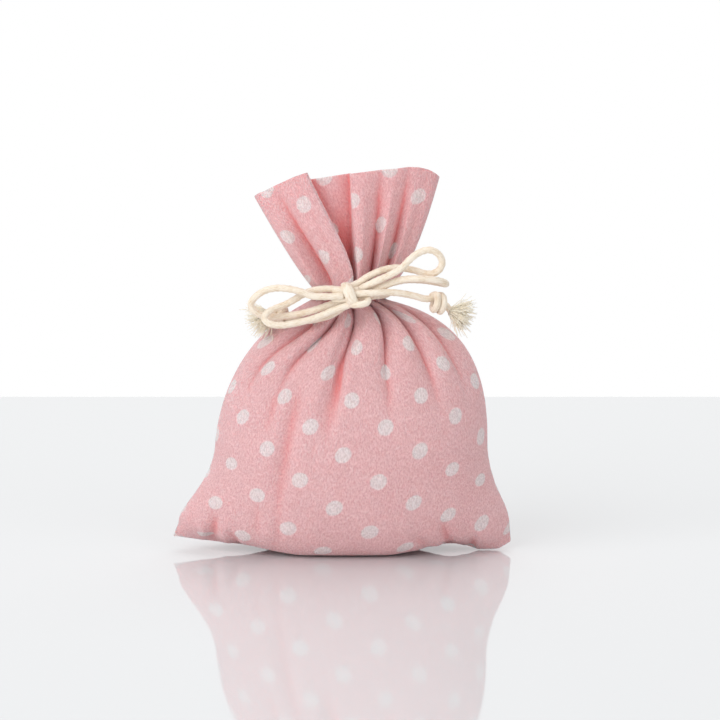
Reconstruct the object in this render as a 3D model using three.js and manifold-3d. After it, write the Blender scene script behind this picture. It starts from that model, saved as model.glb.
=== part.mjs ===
// Lavender sachet: a small gathered cotton pouch, stuffed with dried flowers and tied with a cord bow.
// Millimetres, +Z up, origin on the table under the middle of the pouch, front towards -Y.

import * as THREE from 'three';
import { RoundedBoxGeometry } from 'three/addons/geometries/RoundedBoxGeometry.js';
import { mergeVertices } from 'three/addons/utils/BufferGeometryUtils.js';
import Module from 'manifold-3d';

const wasm = await Module();
wasm.setup();

// Stock and clearances
const CLOTH_THICKNESS = 0.5;
const THREAD_DIAMETER = 0.4;
const THREAD_LIFT = 0.1;
const CORD_DIAMETER = 2.0;
const CLEARANCE = 0.3;
const FILLING_MARGIN = 1.1;
const FILLING_HEIGHT = 66;

// Foot of the pouch: corner to corner, and the patch that lies flat on the table
const CORNER_SPAN = 100;
const CORNER_HEIGHT = 4;
const BASE_DEPTH = 18;
const BASE_WIDTH = 26;
const BASE_CURVE = 1.3;
const FOOT_ROUND = 9;
const FOOT_RISE = 17;
const DROOP = 2.6;
const DROOP_REACH = 41;
const DROOP_WIDTH = 4.5;
const DROOP_HEIGHT = 14;

// Stuffed body
const BELLY_DEPTH = 44;
const BELLY_HEIGHT = 30;
const BELLY_SIDE_HEIGHT = 33;
const WAIST_RISE = 12;
const FRONT_SHOULDER_RISE = 20;

// Tied neck and the ruffle above it
const NECK_HEIGHT = 76.5;
const NECK_DEPTH = 15;
const NECK_LENGTH = 3.2;
const NECK_FLARE = 2.5;
const NECK_DROP = 8;
const LEFT_FLARE = 0.88;
const RIGHT_FLARE = 0.55;
const RUFFLE_LEAN = 0.8;

// Gathers: where the folds start on the body, how deep they run and how tight their valleys are
const GATHER_START = 40;
const GATHER_LEAD = 4;
const GATHER_REST = 6;
const GATHER_DEPTH = 7;
const DRAW_START = 54;
const NECK_BLEND = 9;
const CREASE = 1.7;

// Ridges and valleys of each panel from its left seam to its right one: share of the way across the belly,
// place under the cord as shares of the neck's half width and half depth, place on the top edge as distance
// across, distance out from the seam and height, depth down the body, and swing aside and in, low in the ruffle
const FRONT_FOLDS = [
  { share: 0.000, neck: [-1.00, 0.00], top: [-25.6, 0.0, 105.0], depth: 0, swing: [0, 0] },
  { share: 0.070, neck: [-0.72, 0.66], top: [-21.0, 2.7, 107.9], depth: 0, swing: [0, 0] },
  { share: 0.130, neck: [-0.42, 0.44], top: [-15.4, 5.4, 110.8], depth: 1.1, swing: [2, 2] },
  { share: 0.190, neck: [-0.30, 0.93], top: [-13.0, 6.9, 112.1], depth: 0, swing: [2.4, 0] },
  { share: 0.250, neck: [-0.20, 0.93], top: [-11.4, 7.8, 113.0], depth: 1, swing: [3, 0.3] },
  { share: 0.350, neck: [-0.08, 0.99], top: [-9.4, 8.8, 113.9], depth: 0, swing: [5.2, 0] },
  { share: 0.405, neck: [-0.04, 0.74], top: [-8.0, 2.5, 110.4], depth: 0.5, swing: [2.6, 0.5] },
  { share: 0.440, neck: [0.04, 0.45], top: [3.2, 1.1, 111.2], depth: 1.3, swing: [0.4, 0.5] },
  { share: 0.490, neck: [0.20, 0.95], top: [2.2, 8.5, 112.3], depth: 0, swing: [1.2, 0] },
  { share: 0.550, neck: [0.30, 0.93], top: [6.8, 8.9, 112.9], depth: 0, swing: [0, 0] },
  { share: 0.610, neck: [0.40, 0.50], top: [11.2, 8.3, 113.3], depth: 1, swing: [0.8, 3.5] },
  { share: 0.690, neck: [0.54, 0.82], top: [15.6, 7.1, 113.7], depth: 0, swing: [0, 0] },
  { share: 0.770, neck: [0.66, 0.46], top: [19.4, 5.7, 114.0], depth: 1, swing: [0.5, 3.2] },
  { share: 0.825, neck: [0.80, 0.58], top: [22.4, 4.3, 113.9], depth: 0, swing: [0, 0] },
  { share: 0.880, neck: [0.91, 0.26], top: [25.0, 2.9, 113.2], depth: 0.8, swing: [0, 0] },
  { share: 1.000, neck: [1.00, 0.00], top: [28.5, 0.0, 110.7], depth: 0, swing: [0, 0] },
];
const BACK_FOLDS = [
  { share: 0.00, neck: [-1.00, 0.00], top: [-25.6, 0.0, 105.0], depth: 0, swing: [0, 0] },
  { share: 0.10, neck: [-0.74, 0.63], top: [-19.5, 6.0, 107.5], depth: 0, swing: [0, 0] },
  { share: 0.22, neck: [-0.46, 0.40], top: [-13.0, 2.3, 109.0], depth: 1, swing: [0, 0] },
  { share: 0.32, neck: [-0.30, 0.94], top: [-7.5, 8.7, 111.5], depth: 0, swing: [0, 0] },
  { share: 0.43, neck: [-0.08, 0.40], top: [-1.5, 2.3, 111.0], depth: 1.2, swing: [0, 0] },
  { share: 0.55, neck: [0.14, 0.98], top: [5.5, 9.1, 112.5], depth: 0, swing: [0, 0] },
  { share: 0.66, neck: [0.36, 0.40], top: [11.5, 2.1, 111.5], depth: 1.1, swing: [0, 0] },
  { share: 0.76, neck: [0.56, 0.80], top: [17.0, 8.3, 112.0], depth: 0, swing: [0, 0] },
  { share: 0.85, neck: [0.70, 0.38], top: [21.5, 1.7, 111.5], depth: 1, swing: [0, 0] },
  { share: 0.93, neck: [0.87, 0.46], top: [27.0, 4.0, 111.5], depth: 0, swing: [0, 0] },
  { share: 1.00, neck: [1.00, 0.00], top: [28.5, 0.0, 110.7], depth: 0, swing: [0, 0] },
];

// Each side's outline: the body leans to the right of its corners
const LEFT = {
  sign: -1, lift: 4.2, taper: 1.6, elbow: 49, elbowHeight: 13, belly: 37.5,
  shoulder: 35, shoulderHeight: 52, collar: 26, collarHeight: 66.5, neck: 8,
};
const RIGHT = {
  sign: 1, lift: 4.6, taper: 0.4, elbow: 49.5, elbowHeight: 14, belly: 43,
  shoulder: 43, shoulderHeight: 55, collar: 36, collarHeight: 70, neck: 12,
};

// Bow knot
const KNOT_CENTRE = new THREE.Vector3(1.0, -13.6, 77.3);
const KNOT_SIZE = new THREE.Vector3(6.4, 5.8, 8.4);
const KNOT_ROUND = 2.6;
const WRAP_WIDTH = 3.8;
const WRAP_TUBE = 0.35;
const LOBE_CENTRE = new THREE.Vector3(5.0, -14.8, 74.9);
const LOBE_SIZE = new THREE.Vector3(5.2, 2.8, 2.8);

// End knots and frayed ends
const END_KNOT_SIZE = new THREE.Vector3(4.4, 4.2, 5.8);
const WRAP_SLANT = 0.5;
const FRAY_STRANDS = 11;
const FRAY_LENGTH = 9;
const FRAY_SPREAD = 0.42;
const FRAY_ROOT_DIAMETER = 1.3;
const FRAY_TIP_DIAMETER = 0.6;
const LEFT_FRAY_DIRECTION = new THREE.Vector3(-0.9, 0.1, -0.42).normalize();
const RIGHT_FRAY_DIRECTION = new THREE.Vector3(0.8, 0.1, -0.6).normalize();

// Mesh resolution
const BASE_ROWS = 2;
const LOWER_ROWS = 4;
const UPPER_ROWS = 7;
const NECK_ROWS = 1;
const RUFFLE_ROWS = 5;
const OVAL_STEPS = 60;
const FILLING_SIDES = 20;
const FILLING_RINGS = 10;
const CORD_SIDES = 8;
const NECK_BAND_STEPS = 28;
const LOOP_STEPS = 32;
const TAIL_STEPS = 10;
const THREAD_SIDES = 5;
const THREAD_STEPS = 40;
const ROUND_SIDES = 14;
const ROUND_RINGS = 10;
const ROUND_CORNER_STEPS = 3;
const GAP_SAMPLES = 200;
const GAP_SPACING = 3 * CORD_DIAMETER;

const SEAM_GAP = THREAD_DIAMETER + 2 * CLEARANCE;
const THROAT_HEIGHT = NECK_HEIGHT - NECK_LENGTH / 2;
const CORD_RADIUS = CORD_DIAMETER / 2;

// Cord routes, each from the knot outwards and, for a loop, back again
const UPPER_LEFT_ROUTE = [
  [-2.9, -15.4, 77.4], [-5.6, -15.6, 77.4], [-8.5, -15.8, 77.6], [-11.5, -15.9, 78.8],
  [-15.3, -15.7, 79.7], [-19.4, -15.2, 79.8], [-22.8, -14.5, 78.7], [-25.2, -13.8, 76.8],
  [-26.2, -13.2, 75.0], [-25.4, -12.8, 73.0], [-23.2, -12.5, 71.6], [-19.7, -12.4, 71.1],
  [-15.6, -12.4, 71.5], [-11.5, -12.4, 72.2], [-7.1, -12.5, 73.4], [-2.9, -12.6, 74.9],
];
const LOWER_LEFT_ROUTE = [
  [-2.9, -12.6, 79.3], [-6.2, -12.5, 79.2], [-9.1, -12.4, 78.6], [-11.5, -12.4, 77.5],
  [-13.5, -12.7, 76.3], [-16.2, -13.4, 74.9], [-19.1, -14.6, 73.9], [-21.4, -15.8, 72.7],
  [-22.2, -16.7, 71.2], [-21.0, -17.2, 69.9], [-18.2, -17.2, 69.3], [-14.1, -16.8, 69.7],
  [-10.0, -16.3, 70.6], [-6.2, -15.8, 71.8], [-2.9, -15.5, 73.2],
];
const LEFT_TAIL_ROUTE = [
  [-2.9, -12.8, 71.8], [-5.9, -12.5, 70.8], [-8.9, -11.9, 70.1], [-11.5, -11.0, 69.8],
  [-13.6, -9.9, 69.9], [-15.4, -8.9, 70.2],
];
const UPPER_RIGHT_ROUTE = [
  [4.9, -13.0, 79.1], [7.1, -13.4, 80.3], [10.6, -14.7, 82.1], [14.6, -15.4, 84.0],
  [17.3, -15.4, 85.7], [19.4, -15.2, 87.9], [22.0, -14.8, 89.9], [25.0, -14.3, 90.8],
  [27.6, -13.8, 89.8], [29.0, -13.2, 87.3], [28.2, -12.5, 84.9], [26.3, -11.7, 83.7],
  [23.8, -11.2, 83.7], [21.3, -11.1, 84.5], [18.5, -11.4, 85.1], [15.9, -11.7, 85.4],
  [12.9, -11.8, 85.0], [9.7, -11.8, 83.9], [7.1, -11.6, 82.5], [4.9, -11.4, 81.0],
];
const LOWER_RIGHT_ROUTE = [
  [4.9, -12.6, 76.4], [7.6, -12.6, 77.4], [10.3, -12.6, 79.1], [12.9, -12.8, 80.4],
  [15.6, -13.4, 81.6], [18.5, -14.1, 82.3], [21.8, -14.5, 82.5], [25.0, -14.2, 82.3],
  [27.8, -13.2, 81.8], [29.7, -11.4, 81.0], [30.2, -9.4, 80.4], [29.7, -7.4, 80.2],
  [27.8, -5.8, 80.4], [25.0, -5.0, 80.8], [21.8, -5.4, 81.1], [18.5, -6.5, 81.2],
  [15.3, -8.0, 80.7], [12.1, -9.5, 80.0], [8.5, -10.3, 79.0], [4.9, -10.6, 78.0],
];
const RIGHT_TAIL_ROUTE = [
  [4.9, -15.4, 78.3], [7.3, -15.4, 78.4], [10.3, -15.1, 78.5], [13.8, -14.3, 78.5],
  [17.6, -13.0, 78.0], [21.8, -11.3, 76.9], [25.4, -9.8, 75.7],
];

// Materials
const CLOTH = new THREE.MeshStandardMaterial({ color: 0xe6abae, roughness: 0.9, metalness: 0 });
const THREAD = new THREE.MeshStandardMaterial({ color: 0xdf9fa4, roughness: 0.8, metalness: 0 });
const CORD = new THREE.MeshStandardMaterial({ color: 0xeadcc6, roughness: 0.95, metalness: 0 });
const FLOWERS = new THREE.MeshStandardMaterial({ color: 0x7d7096, roughness: 1, metalness: 0 });

const { clamp, lerp, smoothstep } = THREE.MathUtils;
const flat = (x, y) => new THREE.Vector2(x, y);
const place = ([x, y, z]) => new THREE.Vector3(x, y, z);

// Points of one profile, stretch by stretch, each stretch with its own count of rows.
function sampled(stretches) {
  const counts = [BASE_ROWS, LOWER_ROWS, UPPER_ROWS, NECK_ROWS];
  const points = [stretches[0].getPoint(0)];
  stretches.forEach((stretch, s) => {
    for (let k = 1; k <= counts[s]; k += 1) points.push(stretch.getPoint(k / counts[s]));
  });
  return points;
}

// Middle of a panel up to the neck, as distance from the seam and height.
function middleProfile() {
  const seam = flat(0, CLOTH_THICKNESS);
  const foot = flat(BASE_DEPTH / 2, CLOTH_THICKNESS);
  const belly = flat(BELLY_DEPTH / 2, BELLY_HEIGHT);
  const neck = flat((NECK_DEPTH - SEAM_GAP) / 2, THROAT_HEIGHT);
  const collar = flat(neck.x, neck.y + NECK_LENGTH);
  return sampled([
    new THREE.LineCurve(seam, foot),
    new THREE.CubicBezierCurve(
      foot, flat(foot.x + FOOT_ROUND, foot.y), flat(belly.x, belly.y - FOOT_RISE), belly,
    ),
    new THREE.CubicBezierCurve(
      belly,
      flat(belly.x, belly.y + FRONT_SHOULDER_RISE),
      flat(neck.x + NECK_FLARE, neck.y - NECK_DROP),
      neck,
    ),
    new THREE.LineCurve(neck, collar),
  ]);
}

// A side seam up to the neck, as distance from the middle plane and height.
function sideProfile(side) {
  const corner = flat(CORNER_SPAN / 2, side.lift);
  const blunt = flat(corner.x - side.taper, corner.y + CORNER_HEIGHT);
  const belly = flat(side.belly, BELLY_SIDE_HEIGHT);
  const neck = flat(side.neck, THROAT_HEIGHT);
  const collar = flat(neck.x, neck.y + NECK_LENGTH);
  return sampled([
    new THREE.LineCurve(corner, blunt),
    new THREE.CubicBezierCurve(
      blunt, flat(side.elbow, side.elbowHeight), flat(belly.x, belly.y - WAIST_RISE), belly,
    ),
    new THREE.CubicBezierCurve(
      belly, flat(side.shoulder, side.shoulderHeight), flat(side.collar, side.collarHeight), neck,
    ),
    new THREE.LineCurve(neck, collar),
  ]);
}

const MIDDLE = middleProfile();
const LEFT_SEAM = sideProfile(LEFT);
const RIGHT_SEAM = sideProfile(RIGHT);

// How deep the gathers run at a height on the body.
function gatherDepth(height) {
  return GATHER_DEPTH * smoothstep(height, GATHER_START - GATHER_LEAD, THROAT_HEIGHT + GATHER_REST);
}

// A value half way between two folds: still near the ridge's, because ridges are round and valleys tight.
function halfWay(first, second) {
  return lerp(first, second, second < first ? 0.5 ** CREASE : 1 - 0.5 ** CREASE);
}

// A fold's value and, after each fold but the last, the value half way to the next one.
function alongFolds(values, between) {
  const pairs = values.slice(1).map((next, k) => [between(values[k], next), next]);
  return [values[0], ...pairs.flat()];
}

// The place half way between two folds, with its part along the oval's outward direction rounded at the ridge.
function halfWayPlace(first, second, middle, wide, deep) {
  const half = first.clone().lerp(second, 0.5);
  const out = flat((half.x - middle) / wide ** 2, half.y / deep ** 2).normalize();
  return half.addScaledVector(out, halfWay(first.dot(out), second.dot(out)) - half.dot(out));
}

// Turn from a panel's middle that lies a share of the way along an oval's half.
function evenTurn(wide, deep, share) {
  const half = new THREE.EllipseCurve(0, 0, Math.max(deep, CLEARANCE), wide, -Math.PI / 2, Math.PI / 2);
  half.arcLengthDivisions = OVAL_STEPS;
  return lerp(-Math.PI / 2, Math.PI / 2, half.getUtoTmapping(share));
}

// Where the folds lie under the cord, as shares of the neck's half width and half depth.
function neckPlaces(folds) {
  const places = folds.map(({ neck }) => flat(...neck));
  return alongFolds(places, (a, b) => halfWayPlace(a, b, 0, 1, 1));
}

// How far the cloth near the right corner hangs below the line from the base to the corner.
function droop(across, height) {
  const aside = (across - DROOP_REACH) / DROOP_WIDTH;
  return DROOP * Math.exp(-(aside ** 2)) * (1 - smoothstep(height, 0, DROOP_HEIGHT));
}

// One row of the body's inner face, oval on the belly and gathered towards the neck.
function bodyRow(row, folds, facing) {
  const { x: deep, y: height } = MIDDLE[row];
  const [left, right] = [LEFT_SEAM[row], RIGHT_SEAM[row]];
  const wide = (left.x + right.x) / 2;
  const drawn = smoothstep(height, DRAW_START, THROAT_HEIGHT);
  const tied = smoothstep(height, THROAT_HEIGHT - NECK_BLEND, THROAT_HEIGHT);
  const shares = alongFolds(folds.map(({ share }) => share), (a, b) => (a + b) / 2);
  const depths = alongFolds(folds.map(({ depth }) => -depth), halfWay);
  return neckPlaces(folds).map((neck, column) => {
    const led = lerp(Math.asin(neck.x), Math.atan2(neck.x, neck.y), tied);
    const turn = lerp(evenTurn(wide, deep, shares[column]), led, drawn);
    const [across, out] = [Math.sin(turn), Math.cos(turn)];
    const reach = lerp(1, neck.length(), tied);
    const sunk = depths[column] * gatherDepth(height) * (1 - tied);
    const normal = flat(deep * across, wide * out).setLength(sunk);
    const lift = clamp((CORNER_SPAN * Math.abs(across) - BASE_WIDTH) / (CORNER_SPAN - BASE_WIDTH), 0, 1);
    const rise = lerp(height, (across < 0 ? left : right).y, lift ** BASE_CURVE);
    const aside = (right.x - left.x) / 2 + wide * reach * across + normal.x;
    return new THREE.Vector3(
      aside,
      facing * (SEAM_GAP / 2 + deep * reach * out + normal.y),
      rise - droop(aside, rise),
    );
  });
}

// The top edge of the ruffle's inner face, over its ridges and valleys.
function topRow(folds, facing) {
  const tops = folds.map(({ top }) => place(top));
  const [first, last] = [tops[0].x, tops.at(-1).x];
  const deep = Math.max(...tops.map(({ y }) => y));
  return alongFolds(tops, (a, b) => {
    const plan = halfWayPlace(flat(a.x, a.y), flat(b.x, b.y), (first + last) / 2, (last - first) / 2, deep);
    return new THREE.Vector3(plan.x, plan.y, (a.z + b.z) / 2);
  }).map(({ x, y, z }) => new THREE.Vector3(x, facing * (SEAM_GAP / 2 + y), z));
}

// One row of the ruffle, a share of the way from the neck to the top edge.
function ruffleRow(neck, top, swings, share, facing) {
  const [first, last] = [top[0].x, top.at(-1).x];
  return neck.map((from, column) => {
    const to = top[column];
    const flare = share ** lerp(LEFT_FLARE, RIGHT_FLARE, clamp((to.x - first) / (last - first), 0, 1));
    const swing = swings[column].clone().multiplyScalar(Math.sin(Math.PI * Math.sqrt(share)));
    return new THREE.Vector3(
      lerp(from.x, to.x, flare) + swing.x,
      lerp(from.y, to.y, share ** RUFFLE_LEAN) - facing * swing.y,
      lerp(from.z, to.z, share),
    );
  });
}

// A panel's inner face, row by row from the bottom seam to the top of the ruffle.
function panelGrid(folds, facing) {
  const rows = MIDDLE.map((_, row) => bodyRow(row, folds, facing));
  const neck = rows.at(-1);
  const top = topRow(folds, facing);
  const swings = alongFolds(folds.map(({ swing }) => flat(...swing)), (a, b) => a.clone().lerp(b, 0.5));
  for (let k = 1; k <= RUFFLE_ROWS; k += 1) rows.push(ruffleRow(neck, top, swings, k / RUFFLE_ROWS, facing));
  return rows;
}

// The direction of a line through its middle point, shared evenly between both sides.
function through(before, point, after) {
  const ahead = new THREE.Vector3().subVectors(after, point).normalize();
  return new THREE.Vector3().subVectors(point, before).normalize().add(ahead);
}

// Outward direction of a panel's grid at one point, from its neighbours.
function outward(grid, row, column, facing) {
  const point = grid[row][column];
  const [before, after] = [grid[row][column - 1] ?? point, grid[row][column + 1] ?? point];
  const [below, above] = [grid[row - 1]?.[column] ?? point, grid[row + 1]?.[column] ?? point];
  const along = through(before, point, after);
  return along.cross(through(below, point, above)).normalize().multiplyScalar(-facing);
}

// A closed sheet between an outer and an inner grid of points.
function sheet(outer, inner, facing) {
  const rows = outer.length;
  const columns = outer[0].length;
  const positions = [...outer.flat(), ...inner.flat()].flatMap((point) => point.toArray());
  const at = (row, column, layer) => layer * rows * columns + row * columns + column;
  const triangles = [];
  const quad = (a, b, c, d) => triangles.push([a, b, c], [a, c, d]);
  for (let r = 0; r < rows - 1; r += 1) {
    for (let c = 0; c < columns - 1; c += 1) {
      quad(at(r, c, 0), at(r, c + 1, 0), at(r + 1, c + 1, 0), at(r + 1, c, 0));
      quad(at(r, c, 1), at(r + 1, c, 1), at(r + 1, c + 1, 1), at(r, c + 1, 1));
    }
  }
  for (let c = 0; c < columns - 1; c += 1) {
    quad(at(0, c + 1, 0), at(0, c, 0), at(0, c, 1), at(0, c + 1, 1));
    quad(at(rows - 1, c, 0), at(rows - 1, c + 1, 0), at(rows - 1, c + 1, 1), at(rows - 1, c, 1));
  }
  for (let r = 0; r < rows - 1; r += 1) {
    quad(at(r, 0, 0), at(r + 1, 0, 0), at(r + 1, 0, 1), at(r, 0, 1));
    quad(at(r + 1, columns - 1, 0), at(r, columns - 1, 0), at(r, columns - 1, 1), at(r + 1, columns - 1, 1));
  }
  const geometry = new THREE.BufferGeometry();
  geometry.setAttribute('position', new THREE.Float32BufferAttribute(positions, 3));
  geometry.setIndex(triangles.flatMap(([a, b, c]) => (facing < 0 ? [a, b, c] : [a, c, b])));
  return geometry;
}

// One gathered cloth panel on its inner face.
function panel(inner, facing) {
  const outer = inner.map((line, row) => line.map((point, column) => (
    point.clone().addScaledVector(outward(inner, row, column, facing), CLOTH_THICKNESS)
  )));
  return sheet(outer, inner, facing);
}

// A tube of round section along a smooth route.
function tube(route, diameter, sides, steps) {
  const ring = Array.from({ length: sides }, (_, k) => {
    const turn = (2 * Math.PI * k) / sides;
    return flat((diameter / 2) * Math.cos(turn), (diameter / 2) * Math.sin(turn));
  });
  const extrudePath = new THREE.CatmullRomCurve3(route, false, 'centripetal');
  return new THREE.ExtrudeGeometry(new THREE.Shape(ring), { steps, extrudePath });
}

// Thread of a side seam, between the edges of the two panels.
function sideThread(side, seam) {
  const route = seam.map((point) => (
    new THREE.Vector3(point.x + (side.sign * CLOTH_THICKNESS) / 2, 0, point.z)
  ));
  return tube(route, THREAD_DIAMETER, THREAD_SIDES, THREAD_STEPS);
}

// Thread of the bottom seam, which stops just short of the side threads.
function bottomThread(seam) {
  const most = CORNER_SPAN / 2 - THREAD_DIAMETER - CLEARANCE;
  const rise = THREAD_LIFT + THREAD_DIAMETER / 2 - CLOTH_THICKNESS;
  const route = seam.map((point) => new THREE.Vector3(clamp(point.x, -most, most), 0, point.z + rise));
  return tube(route, THREAD_DIAMETER, THREAD_SIDES, THREAD_STEPS);
}

// The profile's distance at a height, between its two nearest rows.
function reachAt(profile, height) {
  const next = profile.findIndex((point, row) => row > BASE_ROWS && point.y >= height);
  const low = profile[next - 1];
  const high = profile[next];
  return lerp(low.x, high.x, (height - low.y) / (high.y - low.y));
}

// Dried flowers that stuff the body up to the gathers, clear of the cloth beside, above and below.
function filling() {
  const bottom = CLOTH_THICKNESS + CLEARANCE;
  const deepest = Math.max(...FRONT_FOLDS.map(({ depth }) => depth));
  const rings = [ring(-BASE_WIDTH / 2, BASE_WIDTH / 2, BASE_DEPTH / 2 - CLEARANCE, bottom)];
  for (let level = 1; level <= FILLING_RINGS; level += 1) {
    const height = bottom + (FILLING_HEIGHT - bottom) * Math.sin((Math.PI / 2) * (level / FILLING_RINGS));
    const frontLevel = height + FILLING_MARGIN * Math.sign(height - BELLY_HEIGHT);
    const sideLevel = Math.max(height + FILLING_MARGIN, BELLY_SIDE_HEIGHT);
    const left = reachAt(LEFT_SEAM, sideLevel) - FILLING_MARGIN;
    const right = reachAt(RIGHT_SEAM, sideLevel) - FILLING_MARGIN;
    const folds = deepest * gatherDepth(height + FILLING_MARGIN);
    rings.push(ring(folds - left, right - folds, reachAt(MIDDLE, frontLevel) - FILLING_MARGIN - folds, height));
  }
  return lofted(rings);
}

// An oval ring of points at one height.
function ring(left, right, depth, height) {
  return Array.from({ length: FILLING_SIDES }, (_, k) => {
    const turn = (2 * Math.PI * k) / FILLING_SIDES;
    const x = (left + right) / 2 + ((right - left) / 2) * Math.cos(turn);
    return new THREE.Vector3(x, depth * Math.sin(turn), height);
  });
}

// A closed solid through a stack of rings, with flat ends.
function lofted(rings) {
  const sides = rings[0].length;
  const positions = rings.flat().flatMap((point) => point.toArray());
  const index = [];
  for (let r = 0; r < rings.length - 1; r += 1) {
    for (let k = 0; k < sides; k += 1) {
      const a = r * sides + k;
      const b = r * sides + ((k + 1) % sides);
      index.push(a, b, b + sides, a, b + sides, a + sides);
    }
  }
  const last = (rings.length - 1) * sides;
  for (let k = 1; k < sides - 1; k += 1) {
    index.push(0, k + 1, k, last, last + k, last + k + 1);
  }
  const geometry = new THREE.BufferGeometry();
  geometry.setAttribute('position', new THREE.Float32BufferAttribute(positions, 3));
  geometry.setIndex(index);
  return geometry;
}

// One open turn of cord round the gathered neck; its ends meet behind the bow knot.
function neckBandRoute() {
  const outside = CLOTH_THICKNESS + CLEARANCE + CORD_RADIUS;
  const middle = (RIGHT.neck - LEFT.neck) / 2;
  const across = (RIGHT.neck + LEFT.neck) / 2 + outside;
  const deep = NECK_DEPTH / 2 + outside;
  const opening = (CORD_DIAMETER + CLEARANCE) / across;
  return Array.from({ length: NECK_BAND_STEPS + 1 }, (_, k) => {
    const turn = -Math.PI / 2 + opening + ((2 * Math.PI - 2 * opening) * k) / NECK_BAND_STEPS;
    return new THREE.Vector3(middle + across * Math.cos(turn), deep * Math.sin(turn), NECK_HEIGHT);
  });
}

// Least gap between stretches of one cord that lie more than a few diameters apart along it.
function leastGap(route) {
  const points = new THREE.CatmullRomCurve3(route, false, 'centripetal').getSpacedPoints(GAP_SAMPLES);
  const step = points[0].distanceTo(points[1]);
  const apart = Math.ceil(GAP_SPACING / step);
  let least = Infinity;
  for (let a = 0; a < points.length; a += 1) {
    for (let b = a + apart; b < points.length; b += 1) least = Math.min(least, points[a].distanceTo(points[b]));
  }
  return least - CORD_DIAMETER;
}

function solid(geometry) {
  const bare = geometry.clone();
  bare.deleteAttribute('normal');
  bare.deleteAttribute('uv');
  const merged = mergeVertices(bare);
  const vertProperties = Float32Array.from(merged.attributes.position.array);
  const triVerts = Uint32Array.from(merged.index.array);
  return new wasm.Manifold(new wasm.Mesh({ numProp: 3, vertProperties, triVerts }));
}

function joined(geometries) {
  const { vertProperties, triVerts } = geometries.map(solid).reduce((sum, next) => sum.add(next)).getMesh();
  const geometry = new THREE.BufferGeometry();
  geometry.setAttribute('position', new THREE.BufferAttribute(vertProperties, 3));
  geometry.setIndex(new THREE.BufferAttribute(triVerts, 1));
  return geometry;
}

// An egg of the given size, turned about Y and moved into place.
function egg(size, tilt, centre) {
  const geometry = new THREE.SphereGeometry(0.5, ROUND_SIDES, ROUND_RINGS);
  geometry.scale(size.x, size.y, size.z);
  geometry.rotateY(tilt);
  return geometry.translate(centre.x, centre.y, centre.z);
}

// A turn of cord round a core, in the plane across the X axis, turned about Y and moved into place.
function wrap(width, depth, height, tilt, centre) {
  const geometry = new THREE.TorusGeometry(1, WRAP_TUBE, CORD_SIDES, ROUND_SIDES);
  const across = 2 * (1 + WRAP_TUBE);
  geometry.rotateY(Math.PI / 2);
  geometry.scale(width / (2 * WRAP_TUBE), depth / across, height / across);
  geometry.rotateY(tilt);
  return geometry.translate(centre.x, centre.y, centre.z);
}

// The bow knot: the gathered strands, the turn that holds them and the tucked lobe at its lower right.
function bowKnot() {
  const core = new RoundedBoxGeometry(...KNOT_SIZE.toArray(), ROUND_CORNER_STEPS, KNOT_ROUND);
  core.translate(KNOT_CENTRE.x, KNOT_CENTRE.y, KNOT_CENTRE.z);
  return joined([
    core,
    wrap(WRAP_WIDTH, KNOT_SIZE.y + CORD_RADIUS, KNOT_SIZE.z + CORD_RADIUS, 0, KNOT_CENTRE),
    egg(LOBE_SIZE, 0, LOBE_CENTRE),
  ]);
}

// The unit direction in which a route ends.
function endDirection(route) {
  return new THREE.CatmullRomCurve3(route, false, 'centripetal').getTangent(1);
}

// Where the overhand knot on a tail sits, just clear of the tail's end face, and its turn about Y.
function endKnotPlace(route) {
  const direction = endDirection(route);
  const tilt = Math.atan2(-direction.z, direction.x);
  const centre = route.at(-1).clone().addScaledVector(direction, END_KNOT_SIZE.x / 2 + CLEARANCE);
  return { centre, tilt };
}

// An overhand knot: a core with a slanting turn of the cord round it.
function endKnot(route) {
  const { centre, tilt } = endKnotPlace(route);
  const around = END_KNOT_SIZE.clone().addScalar(CORD_RADIUS);
  return joined([
    egg(END_KNOT_SIZE, tilt, centre),
    wrap(CORD_DIAMETER, around.y, around.z, tilt + WRAP_SLANT, centre),
  ]);
}

// Distance from an end knot's centre to the surface of its core in a direction.
function endKnotReach(direction, tilt) {
  const local = direction.clone().applyAxisAngle(new THREE.Vector3(0, 1, 0), -tilt);
  return 0.5 / local.divide(END_KNOT_SIZE).length();
}

// The unravelled strands beyond an end knot, fanned out about the given direction.
function frayedEnd(route, direction) {
  const { centre, tilt } = endKnotPlace(route);
  const root = centre.addScaledVector(direction, endKnotReach(direction, tilt) + CLEARANCE + CORD_RADIUS);
  const turnToDirection = new THREE.Quaternion().setFromUnitVectors(new THREE.Vector3(0, 1, 0), direction);
  const strands = Array.from({ length: FRAY_STRANDS }, (_, k) => {
    const turn = (2 * Math.PI * k) / (FRAY_STRANDS - 1);
    const lean = k === 0 ? 0 : FRAY_SPREAD * (1 - (k % 2) / 3);
    const length = FRAY_LENGTH - (k % 3);
    const [tip, foot] = [FRAY_TIP_DIAMETER / 2, FRAY_ROOT_DIAMETER / 2];
    const strand = new THREE.CylinderGeometry(tip, foot, length, THREAD_SIDES);
    strand.translate(0, length / 2, 0);
    strand.rotateZ(lean);
    strand.rotateY(turn);
    return strand.applyQuaternion(turnToDirection).translate(root.x, root.y, root.z);
  });
  const stub = new THREE.SphereGeometry(CORD_RADIUS, CORD_SIDES, CORD_SIDES - 2);
  return joined([stub.translate(root.x, root.y, root.z), ...strands]);
}

const front = panelGrid(FRONT_FOLDS, -1);
const back = panelGrid(BACK_FOLDS, 1);
const leftTail = LEFT_TAIL_ROUTE.map(place);
const rightTail = RIGHT_TAIL_ROUTE.map(place);
const neckBand = neckBandRoute();
const loop = (route) => tube(route.map(place), CORD_DIAMETER, CORD_SIDES, LOOP_STEPS);

const sachet = new THREE.Group();

function add(name, geometry, material) {
  const mesh = new THREE.Mesh(geometry, material);
  mesh.name = name;
  sachet.add(mesh);
}

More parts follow.
